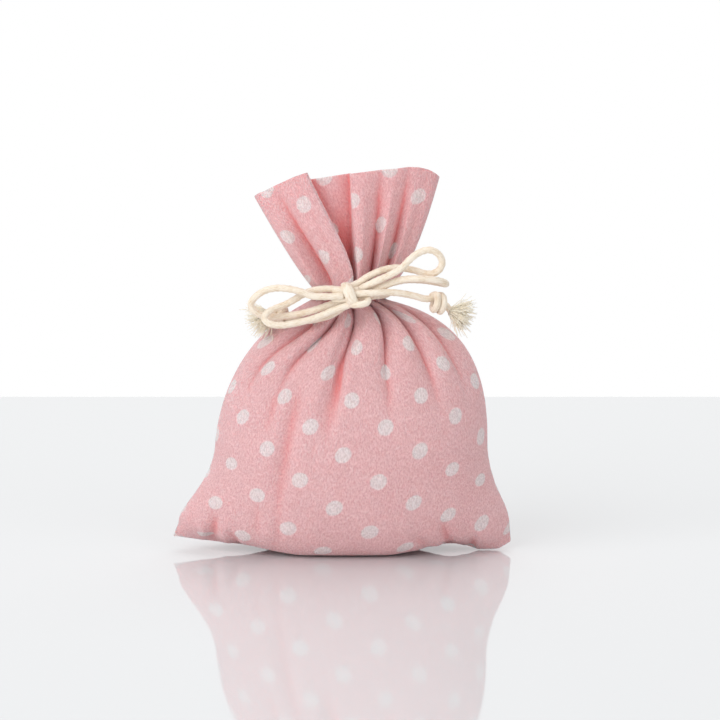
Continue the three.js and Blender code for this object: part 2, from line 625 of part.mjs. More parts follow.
add('front_panel', panel(front, -1), CLOTH);
add('back_panel', panel(back, 1), CLOTH);
add('left_side_stitching', sideThread(LEFT, front.map((row) => row[0])), THREAD);
add('right_side_stitching', sideThread(RIGHT, front.map((row) => row.at(-1))), THREAD);
add('bottom_stitching', bottomThread(front[0]), THREAD);
add('lavender_filling', filling(), FLOWERS);
add('neck_band', tube(neckBand, CORD_DIAMETER, CORD_SIDES, NECK_BAND_STEPS), CORD);
add('bow_knot', bowKnot(), CORD);
add('upper_left_loop', loop(UPPER_LEFT_ROUTE), CORD);
add('lower_left_loop', loop(LOWER_LEFT_ROUTE), CORD);
add('left_tail', tube(leftTail, CORD_DIAMETER, CORD_SIDES, TAIL_STEPS), CORD);
add('left_end_knot', endKnot(leftTail), CORD);
add('left_frayed_end', frayedEnd(leftTail, LEFT_FRAY_DIRECTION), CORD);
add('upper_right_loop', loop(UPPER_RIGHT_ROUTE), CORD);
add('lower_right_loop', loop(LOWER_RIGHT_ROUTE), CORD);
add('right_tail', tube(rightTail, CORD_DIAMETER, CORD_SIDES, TAIL_STEPS), CORD);
add('right_end_knot', endKnot(rightTail), CORD);
add('right_frayed_end', frayedEnd(rightTail, RIGHT_FRAY_DIRECTION), CORD);

console.log(`neck band: least gap to itself ${leastGap(neckBand).toFixed(2)} mm`);

export default sachet;
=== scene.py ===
"""A lavender sachet: a small dotted cotton pouch, gathered and tied with a cream cord bow.

Metres in Blender, millimetres in the named sizes below, +Z up, the front towards -Y.
"""

import logging
import math
from collections.abc import Callable, Sequence
from dataclasses import dataclass, field
from enum import Enum

import bmesh
import bpy
import numpy as np
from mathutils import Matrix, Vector, noise


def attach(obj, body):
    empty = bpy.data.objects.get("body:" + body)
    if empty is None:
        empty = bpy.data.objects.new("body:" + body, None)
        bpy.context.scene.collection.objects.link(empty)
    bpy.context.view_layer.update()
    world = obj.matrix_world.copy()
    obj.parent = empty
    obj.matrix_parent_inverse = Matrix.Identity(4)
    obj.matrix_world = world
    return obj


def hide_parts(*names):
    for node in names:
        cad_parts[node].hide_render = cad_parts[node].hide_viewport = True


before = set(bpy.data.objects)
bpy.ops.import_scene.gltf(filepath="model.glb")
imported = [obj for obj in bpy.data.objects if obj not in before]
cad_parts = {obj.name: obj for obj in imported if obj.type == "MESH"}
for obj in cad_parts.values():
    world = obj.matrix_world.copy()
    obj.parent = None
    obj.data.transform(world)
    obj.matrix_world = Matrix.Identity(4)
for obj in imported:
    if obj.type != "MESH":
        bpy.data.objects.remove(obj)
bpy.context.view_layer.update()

LOG = logging.getLogger("sachet")

MM = 0.001
TINY = 1e-9
WELD = 1e-7  # metres within which a rolled grid's edges become one
SPAN_POINTS = 25  # points of a smooth route between two of its given points
OVAL_POINTS = 361  # points at which half an oval is measured
SIDE_HINT = (0.3, 0.2, 1.0)  # a direction that no cord's start runs along

# The pieces' own maps, and how many millimetres one unit of a map stands for.
CLOTH_MAP = "cloth"
CORD_MAP = "cord"
# How deep in a fold each point lies: the mask of the cloth's painted shade.
FOLD_DEPTH = "fold_depth"
MAP_UNIT = 100.0

Colour = tuple[float, float, float, float]
Place = tuple[float, float, float]


class Body(Enum):
    """The moving bodies that pieces ride on."""

    POUCH = "pouch"
    LEFT_BOW = "left_bow"
    RIGHT_BOW = "right_bow"
    LOOSE_TAIL = "loose_tail"


class Slot(Enum):
    """The record's material slots."""

    COTTON = "dotted_cotton"
    THREAD = "pink_thread"
    CORD = "cream_cord"
    FLOWERS = "dried_flowers"


class FarEnd(Enum):
    OBJECT = "object"
    KNOT = "knot"


def paint(code: int) -> Colour:
    """Turns a colour written as 0xRRGGBB into the linear colour that shaders use.

    Args:
        code: The colour, eight bits to a channel.

    Returns:
        Linear red, green and blue, and an alpha of one.
    """
    channels = [((code >> shift) & 0xFF) / 255 for shift in (16, 8, 0)]
    linear = [c / 12.92 if c <= 0.04045 else ((c + 0.055) / 1.055) ** 2.4 for c in channels]
    return (linear[0], linear[1], linear[2], 1.0)


def ease(share: np.ndarray | float) -> np.ndarray | float:
    """Slows a share at both ends.

    Args:
        share: The share, held to 0 to 1.

    Returns:
        The slowed share.
    """
    held = np.clip(share, 0.0, 1.0)
    return held * held * (3 - 2 * held)


def mix(first: np.ndarray | float, second: np.ndarray | float, share: np.ndarray | float) -> np.ndarray:
    """Goes from the first value to the second as the share goes from 0 to 1."""
    return first + (second - first) * share


class Graph:
    """Adds shader nodes to one new material and links them."""

    def __init__(self, name: str) -> None:
        """Starts a material that has only its shader and output.

        Args:
            name: The material's name.
        """
        self.material = bpy.data.materials.new(name)
        self.material.use_nodes = True
        self.tree = self.material.node_tree
        self.shader = self.tree.nodes["Principled BSDF"]

    def node(self, kind: str, **settings: object) -> bpy.types.Node:
        """Adds one node.

        Args:
            kind: The node's type name.
            settings: Properties of the node.

        Returns:
            The new node.
        """
        made = self.tree.nodes.new(kind)
        for key, value in settings.items():
            setattr(made, key, value)
        return made

    def feed(self, socket: bpy.types.NodeSocket, source: object) -> None:
        """Links a socket to another node's output, or sets it to a constant.

        Args:
            socket: The socket that is fed.
            source: An output, or the constant.
        """
        if isinstance(source, bpy.types.NodeSocket):
            self.tree.links.new(source, socket)
        else:
            socket.default_value = source

    def set(self, **values: object) -> None:
        """Feeds the shader's sockets.

        Args:
            values: What each takes, by the socket's name with underscores for spaces.
        """
        for key, value in values.items():
            self.feed(self.shader.inputs[key.replace("_", " ")], value)

    def math(self, operation: str, *values: object, clamp: bool = False) -> bpy.types.NodeSocket:
        """Adds a Math node.

        Args:
            operation: The node's operation.
            values: Numbers or outputs for its inputs, in order.
            clamp: Whether the result is held to 0 to 1.

        Returns:
            The node's output.
        """
        made = self.node("ShaderNodeMath", operation=operation, use_clamp=clamp)
        for socket, value in zip(made.inputs, values):
            self.feed(socket, value)
        return made.outputs[0]

    def remap(self, value: object, low: float, high: float,
              to_low: float = 0.0, to_high: float = 1.0) -> bpy.types.NodeSocket:
        """Adds a smooth Map Range node, held at both ends.

        Args:
            value: What is mapped.
            low: The value that becomes to_low.
            high: The value that becomes to_high.
            to_low: The result at low.
            to_high: The result at high.

        Returns:
            The mapped value.
        """
        made = self.node("ShaderNodeMapRange", interpolation_type="SMOOTHSTEP")
        for socket, source in zip(made.inputs, (value, low, high, to_low, to_high)):
            self.feed(socket, source)
        return made.outputs[0]

    def noise(self, vector: object, scale: float, detail: float = 2.0,
              roughness: float = 0.5, distortion: float = 0.0) -> bpy.types.NodeSocket:
        """Adds a Noise Texture.

        Args:
            vector: The place that it reads.
            scale: How fine it is.
            detail: How many finer layers it has.
            roughness: How strong those are.
            distortion: How much it wavers.

        Returns:
            Its grey value.
        """
        made = self.node("ShaderNodeTexNoise")
        values = {"Vector": vector, "Scale": scale, "Detail": detail,
                  "Roughness": roughness, "Distortion": distortion}
        for key, value in values.items():
            self.feed(made.inputs[key], value)
        return made.outputs["Fac"]

    def stretched(self, vector: object, scale: Place, turn: float = 0.0) -> bpy.types.NodeSocket:
        """Adds a Mapping node.

        Args:
            vector: The vector that it changes.
            scale: How much it stretches each axis.
            turn: How far it turns about Z, in radians.

        Returns:
            The changed vector.
        """
        made = self.node("ShaderNodeMapping")
        self.feed(made.inputs["Vector"], vector)
        made.inputs["Scale"].default_value = scale
        made.inputs["Rotation"].default_value = (0.0, 0.0, turn)
        return made.outputs[0]

    def parts(self, vector: object) -> tuple[bpy.types.NodeSocket, bpy.types.NodeSocket]:
        """Splits off a map's two distances.

        Args:
            vector: The map.

        Returns:
            The distances across and along.
        """
        made = self.node("ShaderNodeSeparateXYZ")
        self.feed(made.inputs[0], vector)
        return made.outputs[0], made.outputs[1]

    def blend(self, share: object, first: object, second: object) -> bpy.types.NodeSocket:
        """Adds a colour Mix node.

        Args:
            share: How much of the second colour shows.
            first: The first colour.
            second: The second colour.

        Returns:
            The mixed colour.
        """
        made = self.node("ShaderNodeMix", data_type="RGBA")
        sockets = (made.inputs[0], made.inputs[6], made.inputs[7])
        for socket, value in zip(sockets, (share, first, second)):
            self.feed(socket, value)
        return made.outputs[2]

    def bump(self, height: object, distance: float, strength: float) -> None:
        """Gives the shader a bump.

        Args:
            height: The bump's height, from 0 to 1.
            distance: What a height of 1 stands for, in metres.
            strength: How strongly it shows.
        """
        made = self.node("ShaderNodeBump")
        made.inputs["Strength"].default_value = strength
        made.inputs["Distance"].default_value = distance
        self.feed(made.inputs["Height"], height)
        self.feed(self.shader.inputs["Normal"], made.outputs[0])

    def place(self) -> bpy.types.NodeSocket:
        """Reads the place on the piece, in metres."""
        return self.node("ShaderNodeTexCoord").outputs["Object"]

    def surface_map(self, name: str) -> bpy.types.NodeSocket:
        """Reads one of a piece's own UV maps."""
        return self.node("ShaderNodeUVMap", uv_map=name).outputs[0]


@dataclass(frozen=True)
class Crepe:
    """One set of the short ridges that cover the cotton.

    Attributes:
        stretch: How the pattern is stretched across and along the cloth.
        turn: The ridges' slant, in radians.
        scale: How fine they are, in one unit of the cloth map.
        waver: How much they waver.
    """

    stretch: Place
    turn: float
    scale: float
    waver: float


@dataclass(frozen=True)
class DottedCotton:
    """Crinkled pink cotton with an off-white dot printed in a half-drop repeat, in millimetres."""

    # The pink on the crepe's ridges, then in its troughs: a painted highlight and a painted shade, also
    # mixed by random patches of tone.
    ground: Colour = paint(0xF6CACB)
    shade: Colour = paint(0xDA9EA1)
    # The painted shade of the folds: a deeper, redder pink where the fold mask says the cloth lies in a
    # valley.
    deep: Colour = paint(0xEB8482)
    # The printed dot's colour on the crepe's ridges, then in its troughs: a painted highlight and a painted
    # shade.
    dot: Colour = paint(0xF6E3E3)
    dot_trough_shade: Colour = paint(0xDBC4C4)
    dot_diameter: float = 4.7
    dot_edge: float = 0.3
    dot_waver: float = 0.5
    dot_waver_scale: float = 160.0
    column_gap: float = 11.2
    row_gap: float = 15.8
    slant: float = 0.11
    first_column: float = 47.5
    first_row: float = 47.2
    slanted: Crepe = Crepe((1.0, 0.45, 1.0), 0.7, 215.0, 0.6)
    upright: Crepe = Crepe((1.0, 0.55, 1.0), -0.15, 260.0, 0.4)
    crepe_roughness: float = 0.55
    crepe_range: tuple[float, float] = (0.36, 0.64)
    crepe_height: float = 0.15
    crepe_share: float = 0.75
    patch_scale: float = 9.0
    # How much of the painted fold shade shows at the bottom of a fold.
    fold_shade_share: float = 0.75
    thread_gap: float = 0.55
    weave_share: float = 0.12
    glow_depth: float = 1.2

    def material(self) -> bpy.types.Material:
        """Builds the cloth: crepe, printed dots and a painted shade of deeper pink in its folds, all on the
        cloth's map; the colour is lighter on the crepe's ridges and darker in its troughs, a painted
        highlight and shade.

        Returns:
            The material.
        """
        graph = Graph("dotted_cotton")
        cloth = graph.surface_map(CLOTH_MAP)
        crinkle = self.crinkle(graph, cloth)
        fold = graph.node("ShaderNodeAttribute", attribute_name=FOLD_DEPTH).outputs["Fac"]
        # Random patches of tone, plus a painted highlight on the crepe's ridges and a painted shade in its
        # troughs.
        tone_and_crepe_shade = graph.math("MULTIPLY_ADD", graph.noise(cloth, self.patch_scale), 1 - self.crepe_share,
                          graph.math("MULTIPLY", crinkle, self.crepe_share))
        pink = graph.blend(tone_and_crepe_shade, self.shade, self.ground)
        # Painted shade in the folds: the pink turns deeper where the fold mask is high.
        fold_shaded = graph.blend(graph.math("MULTIPLY", fold, self.fold_shade_share, clamp=True), pink, self.deep)
        # The dots get the same painted highlight on the crepe's ridges and painted shade in its troughs.
        white = graph.blend(crinkle, self.dot_trough_shade, self.dot)
        graph.set(Base_Color=graph.blend(self.dots(graph, cloth), fold_shaded, white), Roughness=0.95,
                  Specular_IOR_Level=0.15, Sheen_Weight=0.15, Sheen_Roughness=0.5, Subsurface_Weight=0.35,
                  Subsurface_Radius=(1.0, 0.35, 0.3), Subsurface_Scale=self.glow_depth * MM)
        graph.bump(crinkle, self.crepe_height * MM, strength=1.0)
        return graph.material

    def crinkle(self, graph: Graph, cloth: bpy.types.NodeSocket) -> bpy.types.NodeSocket:
        """Short ridges of crepe in two slants over a fine plain weave.

        Args:
            graph: The material's nodes.
            cloth: The cloth map.

        Returns:
            A height from 0 to 1.
        """
        slanted, upright = (
            graph.noise(graph.stretched(cloth, crepe.stretch, crepe.turn), crepe.scale,
                        roughness=self.crepe_roughness, distortion=crepe.waver)
            for crepe in (self.slanted, self.upright)
        )
        both = graph.math("MULTIPLY_ADD", upright, 0.5, graph.math("MULTIPLY", slanted, 0.5))
        ridges = graph.remap(both, *self.crepe_range)
        threads = 2 * math.pi * MAP_UNIT / self.thread_gap
        warp, weft = (graph.math("SINE", graph.math("MULTIPLY", way, threads)) for way in graph.parts(cloth))
        return graph.math("MULTIPLY_ADD", graph.math("MULTIPLY", warp, weft), self.weave_share, ridges)

    def dots(self, graph: Graph, cloth: bpy.types.NodeSocket) -> bpy.types.NodeSocket:
        """Marks the printed dots.

        Args:
            graph: The material's nodes.
            cloth: The cloth map.

        Returns:
            One inside a dot and zero on the ground.
        """
        across, along = graph.parts(cloth)
        up = graph.math("MULTIPLY_ADD", along, MAP_UNIT, -self.first_row)
        upright = graph.math("MULTIPLY_ADD", across, MAP_UNIT, -self.first_column)
        leaning = graph.math("MULTIPLY_ADD", up, -self.slant, upright)
        column = graph.math("ROUND", graph.math("DIVIDE", leaning, self.column_gap))
        aside = graph.math("SUBTRACT", leaning, graph.math("MULTIPLY", column, self.column_gap))
        drop = graph.math("MULTIPLY", graph.math("FLOORED_MODULO", column, 2.0), self.row_gap / 2)
        dropped = graph.math("ADD", up, drop)
        row = graph.math("ROUND", graph.math("DIVIDE", dropped, self.row_gap))
        above = graph.math("SUBTRACT", dropped, graph.math("MULTIPLY", row, self.row_gap))
        squares = graph.math("ADD", *(graph.math("MULTIPLY", way, way) for way in (aside, above)))
        edge = graph.math("MULTIPLY_ADD", graph.noise(cloth, self.dot_waver_scale),
                          self.dot_waver, -self.dot_waver / 2)
        reach = graph.math("ADD", graph.math("SQRT", squares), edge)
        radius = self.dot_diameter / 2
        return graph.remap(reach, radius + self.dot_edge, radius - self.dot_edge)


@dataclass(frozen=True)
class CottonCord:
    """Undyed cotton cord, softly braided."""

    light: Colour = paint(0xF6EBDB)
    dark: Colour = paint(0xE0CBAF)
    fibre_stretch: Place = (0.25, 1.0, 1.0)
    fibre_scale: float = 260.0
    fibre_height: float = 0.15
    fibre_share: float = 0.6
    patch_scale: float = 300.0
    tone_range: tuple[float, float] = (0.3, 0.6)

    def material(self) -> bpy.types.Material:
        """Builds the cord's matt cotton with fine lengthwise fibres.

        Returns:
            The material.
        """
        graph = Graph("cotton_cord")
        strand = graph.surface_map(CORD_MAP)
        fibres = graph.noise(graph.stretched(strand, self.fibre_stretch), self.fibre_scale,
                             detail=3.0, roughness=0.65)
        patches = graph.noise(graph.place(), self.patch_scale)
        tone = graph.math("MULTIPLY_ADD", fibres, self.fibre_share,
                          graph.math("MULTIPLY", patches, 1 - self.fibre_share))
        colour = graph.blend(graph.remap(tone, *self.tone_range), self.dark, self.light)
        graph.set(Base_Color=colour, Roughness=0.95, Specular_IOR_Level=0.15, Sheen_Weight=0.3,
                  Sheen_Roughness=0.5)
        graph.bump(fibres, self.fibre_height * MM, strength=0.6)
        return graph.material


@dataclass(frozen=True)
class CottonFibres:
    """The loose fibres of the cord's frayed ends."""

    light: Colour = paint(0xFFF8E6)
    dark: Colour = paint(0xF4E4C6)
    patch_scale: float = 700.0
    glow_depth: float = 0.5

    def material(self) -> bpy.types.Material:
        """Builds the soft, slightly see-through fibres.

        Returns:
            The material.
        """
        graph = Graph("cotton_fibres")
        patches = graph.noise(graph.place(), self.patch_scale)
        graph.set(Base_Color=graph.blend(patches, self.dark, self.light), Roughness=0.9,
                  Specular_IOR_Level=0.2, Sheen_Weight=0.4, Sheen_Roughness=0.5, Subsurface_Weight=0.4,
                  Subsurface_Radius=(1.0, 0.95, 0.85), Subsurface_Scale=self.glow_depth * MM)
        return graph.material


@dataclass(frozen=True)
class SewingThread:
    """Pink cotton sewing thread."""

    light: Colour = paint(0xEAB1B6)
    dark: Colour = paint(0xC9838B)
    twist_scale: float = 4000.0
    twist_height: float = 0.05

    def material(self) -> bpy.types.Material:
        """Builds the thread with a fine two-tone twist.

        Returns:
            The material.
        """
        graph = Graph("pink_thread")
        twist = graph.noise(graph.place(), self.twist_scale)
        graph.set(Base_Color=graph.blend(twist, self.dark, self.light), Roughness=0.75,
                  Specular_IOR_Level=0.3)
        graph.bump(twist, self.twist_height * MM, strength=0.6)
        return graph.material


@dataclass(frozen=True)
class DriedFlowers:
    """Dried lavender buds, violet-grey with straw-coloured stems."""

    bud: Colour = paint(0x6F6288)
    stem: Colour = paint(0x9A8C6E)
    mottle_scale: float = 450.0
    mottle_height: float = 0.8
    stem_range: tuple[float, float] = (0.42, 0.66)

    def material(self) -> bpy.types.Material:
        """Builds the buds' mottled, powdery finish.

        Returns:
            The material.
        """
        graph = Graph("dried_flowers")
        mottle = graph.noise(graph.place(), self.mottle_scale, detail=4.0, roughness=0.65)
        colour = graph.blend(graph.remap(mottle, *self.stem_range), self.bud, self.stem)
        graph.set(Base_Color=colour, Roughness=1.0)
        graph.bump(mottle, self.mottle_height * MM, strength=0.7)
        return graph.material


def linked(name: str, data: bpy.types.ID) -> bpy.types.Object:
    """Makes an object and links it into the scene.

    Args:
        name: The object's name.
        data: Its mesh, light or camera.

    Returns:
        The object.
    """
    made = bpy.data.objects.new(name, data)
    bpy.context.scene.collection.objects.link(made)
    return made


def new_object(name: str, bm: bmesh.types.BMesh, material: bpy.types.Material) -> bpy.types.Object:
    """Makes a smooth object of a finished bmesh and frees the bmesh.

    Args:
        name: The piece's name.
        bm: The shape, in metres.
        material: The piece's finish.

    Returns:
        The object, linked into the scene.
    """
    for face in bm.faces:
        face.smooth = True
    mesh = bpy.data.meshes.new(name)
    bm.to_mesh(mesh)
    bm.free()
    mesh.materials.append(material)
    return linked(name, mesh)


def closed_object(name: str, bm: bmesh.types.BMesh, material: bpy.types.Material) -> bpy.types.Object:
    """Makes an object of closed shapes and turns their faces outwards."""
    bmesh.ops.recalc_face_normals(bm, faces=bm.faces)
    return new_object(name, bm, material)


def dress(piece: bpy.types.Object, body: Body, slot: Slot, *nodes: str) -> None:
    """Puts a piece on its body and hides the solids it stands for.

    Args:
        piece: The finished piece.
        body: The body that it moves with.
        slot: The record's slot for its finish; not used.
        nodes: The solids that it replaces.
    """
    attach(piece, body.value)
    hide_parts(*nodes)
    LOG.info("%s: %d faces, rides on %s", piece.name, len(piece.data.polygons), body.value)


def smooth_route(points: Sequence[Place], step: float) -> np.ndarray:
    """Runs a centripetal spline through a route and spaces its points evenly.

    Args:
        points: The route's points.
        step: The distance wanted between points, in the same unit.

    Returns:
        The spaced points.
    """
    knots = np.array(points, float)
    padded = np.vstack([2 * knots[0] - knots[1], knots, 2 * knots[-1] - knots[-2]])
    fine = [knots[:1]]
    for p in range(len(knots) - 1):
        a, b, c, d = padded[p:p + 4]
        t1 = max(np.linalg.norm(b - a), TINY) ** 0.5
        t2 = t1 + max(np.linalg.norm(c - b), TINY) ** 0.5
        t3 = t2 + max(np.linalg.norm(d - c), TINY) ** 0.5
        t = np.linspace(t1, t2, SPAN_POINTS)[1:, None]
        ab, bc, cd = mix(a, b, t / t1), mix(b, c, (t - t1) / (t2 - t1)), mix(c, d, (t - t2) / (t3 - t2))
        abc, bcd = mix(ab, bc, t / t2), mix(bc, cd, (t - t1) / (t3 - t1))
        fine.append(mix(abc, bcd, (t - t1) / (t2 - t1)))
    return spaced(np.vstack(fine), step)


def spaced(line: np.ndarray, step: float) -> np.ndarray:
    """Respaces a polyline evenly.

    Args:
        line: Its points.
        step: The distance wanted between points.

    Returns:
        The respaced points, both ends kept.
    """
    return even_row(line, max(int(round(distances(line)[-1] / step)), 2))


def distances(line: np.ndarray) -> np.ndarray:
    """Gives each point's distance along a polyline."""
    return np.concatenate([[0.0], np.cumsum(np.linalg.norm(np.diff(line, axis=0), axis=1))])


def path_frames(line: np.ndarray) -> tuple[np.ndarray, np.ndarray]:
    """Carries two cross directions along a polyline without twisting them.

    Args:
        line: The polyline's points.

    Returns:
        The two unit directions at every point.
    """
    along = np.gradient(line, axis=0)
    along /= np.linalg.norm(along, axis=1)[:, None]
    side = np.cross(along[0], SIDE_HINT)
    sides = []
    for direction in along:
        side = side - direction * side.dot(direction)
        side = side / np.linalg.norm(side)
        sides.append(side)
    return np.array(sides), np.cross(along, np.array(sides))


Relief = Callable[[np.ndarray, np.ndarray], np.ndarray]


def sweep(bm: bmesh.types.BMesh, line: np.ndarray, radius: np.ndarray, sides: int,
          relief: Relief | None = None) -> None:
    """Rolls a grid into a closed tube along a polyline and adds it to a bmesh.

    Args:
        bm: The bmesh that gets the tube, in metres.
        line: The centreline, in millimetres.
        radius: The tube's radius at each point, in millimetres.
        sides: How many sides it has.
        relief: Gives the share by which the radius grows, from the turn and the distance along.
    """
    steps = len(line) - 1
    run = distances(line)
    first, second = path_frames(line)
    map_layer = bm.loops.layers.uv.get(CORD_MAP) or bm.loops.layers.uv.new(CORD_MAP)
    grid = bmesh.ops.create_grid(bm, x_segments=steps, y_segments=sides, size=0.5)["verts"]
    flat = {vert: (round((vert.co.x + 0.5) * steps), vert.co.y + 0.5) for vert in grid}
    for face in {face for vert in grid for face in vert.link_faces}:
        for loop in face.loops:
            row, share = flat[loop.vert]
            round_it = share * 2 * math.pi * radius[row]
            loop[map_layer].uv = (run[row] / MAP_UNIT, round_it / MAP_UNIT)
    rows = np.array([flat[vert][0] for vert in grid])
    turns = np.array([flat[vert][1] for vert in grid]) * 2 * math.pi
    reach = radius[rows] * (1 + (relief(turns, run[rows]) if relief else 0.0))
    arms = first[rows] * np.cos(turns)[:, None] + second[rows] * np.sin(turns)[:, None]
    places = (line[rows] + arms * reach[:, None]) * MM
    for vert, place in zip(grid, places):
        vert.co = place
    bmesh.ops.remove_doubles(bm, verts=grid, dist=WELD)
    kept = [vert for vert in grid if vert.is_valid]
    rims = list({edge for vert in kept for edge in vert.link_edges if edge.is_boundary})
    bmesh.ops.holes_fill(bm, edges=rims, sides=sides + 1)


@dataclass(frozen=True)
class Braid:
    """The braided cord itself, in millimetres."""

    diameter: float = 2.0
    carriers: int = 8
    lay: float = 7.0
    height: float = 0.09
    step: float = 0.3
    sides: int = 24

    def relief(self, turn: np.ndarray, along: np.ndarray) -> np.ndarray:
        """Raises the strands that cross over one another.

        Args:
            turn: The angle round the cord.
            along: The distance along it.

        Returns:
            The share by which the radius grows.
        """
        twist = 2 * math.pi * along / self.lay
        half = self.carriers / 2
        over = np.abs(np.cos(half * (turn + twist) / 2)) * np.abs(np.cos(half * (turn - twist) / 2))
        return self.height * (over - 0.5)

    def route(self, points: Sequence[Place]) -> np.ndarray:
        """Gives the even centreline through a route's points."""
        return smooth_route(points, self.step)

    def run(self, bm: bmesh.types.BMesh, line: np.ndarray) -> None:
        """Adds a stretch of cord along a centreline to a bmesh."""
        sweep(bm, line, np.full(len(line), self.diameter / 2), self.sides, self.relief)


@dataclass(frozen=True)
class CordFinishes:
    """The materials of the cord and of its frayed ends."""

    cord: bpy.types.Material
    fibres: bpy.types.Material


@dataclass
class Strand:
    """One stretch of the cord, in millimetres.

    Attributes:
        name: The solid that it stands for.
        body: The body that it moves with.
        route: The points that it follows, from where it leaves the bow knot.
        far_end: What it ends in.
        tuck: How far its ends run on into the bow knot.
        tuck_pull: How much they turn to the knot's middle there, in depth and in height.
        knot_centre: The middle of the bow knot.
        braid: The cord.
    """

    name: str
    body: Body
    route: Sequence[Place]
    far_end: FarEnd = FarEnd.OBJECT
    tuck: float = 3.4
    tuck_pull: tuple[float, float] = (0.5, 0.4)
    knot_centre: Place = (1.6, -14.4, 77.6)
    braid: Braid = Braid()

    def centreline(self) -> np.ndarray:
        """Gives the even centreline, tucked a little way into the bow knot.

        Returns:
            The points in millimetres.
        """
        return self.braid.route([self.tucked(self.route[0]), *self.route, self.tucked(self.route[-1])])

    def tucked(self, end: Place) -> Place:
        """Finds the point inside the bow knot that an end of the route runs on to.

        Args:
            end: The end of the route.

        Returns:
            The point.
        """
        (x, y, z), centre = end, self.knot_centre
        return (x + math.copysign(self.tuck, centre[0] - x), mix(y, centre[1], self.tuck_pull[0]),
                mix(z, centre[2], self.tuck_pull[1]))

    def build(self, finishes: CordFinishes) -> None:
        """Args:
            finishes: The cord's materials.
        """
        line = self.centreline()
        piece = self.tube(line, finishes.cord)
        dress(piece, self.body, Slot.CORD, self.name)
        self.declare(piece, line, [])

    def tube(self, line: np.ndarray, material: bpy.types.Material) -> bpy.types.Object:
        """Makes the braided cord along its centreline.

        Args:
            line: The centreline.
            material: The cord's finish.

        Returns:
            The piece.
        """
        bm = bmesh.new()
        self.braid.run(bm, line)
        return closed_object(f"{self.name}_cord", bm, material)

    def declare(self, piece: bpy.types.Object, line: np.ndarray, ends: list[bpy.types.Object]) -> None:
        """Does nothing with the cord.

        Args:
            piece: The cord; not used.
            line: Its centreline; not used.
            ends: The pieces on its far end; not used.
        """


@dataclass(frozen=True)
class KnotPoint:
    """A point of an overhand knot on the cord's way into or out of its coil.

    Attributes:
        end: Which end of the coil it is at: -1 for the near one, 1 for the far one, 0 for the middle.
        shift: How far past there it lies.
        turn: The angle round the knot's axis, on the way out counted from the coil's end.
        out: The distance from that axis.
    """

    end: float
    shift: float
    turn: float
    out: float


@dataclass(frozen=True)
class Fray:
    """The yarns of a frayed end, in millimetres.

    Attributes:
        yarns: How many there are.
        length: A yarn's usual length.
        lengths: The shortest and the longest, as shares of it.
        lean: How far they lean apart.
        spread: How far apart they start, as a share of their lean.
        depth: How deep in the knot they start.
        droop: How far their tips hang down.
        wave: How far they wave.
        waves: The least and the most that they wave, in radians.
        radius: A yarn's radius.
        taper: How much thinner its tip is.
        points: How many points each has.
        sides: How many sides each has.
    """

    yarns: int = 330
    length: float = 6.6
    lengths: tuple[float, float] = (0.72, 1.05)
    lean: float = 0.42
    spread: float = 0.9
    depth: float = 0.8
    droop: float = 0.2
    wave: float = 0.22
    waves: tuple[float, float] = (6.0, 13.0)
    radius: float = 0.12
    taper: float = 0.4
    points: int = 7
    sides: int = 4

    def brush(self, root: np.ndarray, ahead: np.ndarray, seed: int) -> bmesh.types.BMesh:
        """Makes the yarns.

        Args:
            root: Where they leave the knot.
            ahead: The unit direction in which they point.
            seed: The seed of their scatter.

        Returns:
            The brush of yarns.
        """
        chance = np.random.default_rng(seed)
        first, second = (directions[0] for directions in path_frames(np.array([root, root + ahead])))
        share = np.linspace(0.0, 1.0, self.points)[:, None]
        bm = bmesh.new()
        for _ in range(self.yarns):
            lean = chance.normal(0.0, self.lean, 2)
            aside = first * lean[0] + second * lean[1]
            way = (ahead + aside) / np.linalg.norm(ahead + aside)
            length = self.length * chance.uniform(*self.lengths)
            curl = chance.normal(0.0, 1.0, 3) + np.array([0.0, 0.0, -self.droop])
            wave = chance.normal(0.0, self.wave, 3) * np.sin(share * chance.uniform(*self.waves)) * share
            start = root - ahead * self.depth + aside * self.spread
            line = start + way * share * length + curl * share ** 2 + wave
            sweep(bm, line, self.radius * (1 - self.taper * share[:, 0]), self.sides)
        return bm


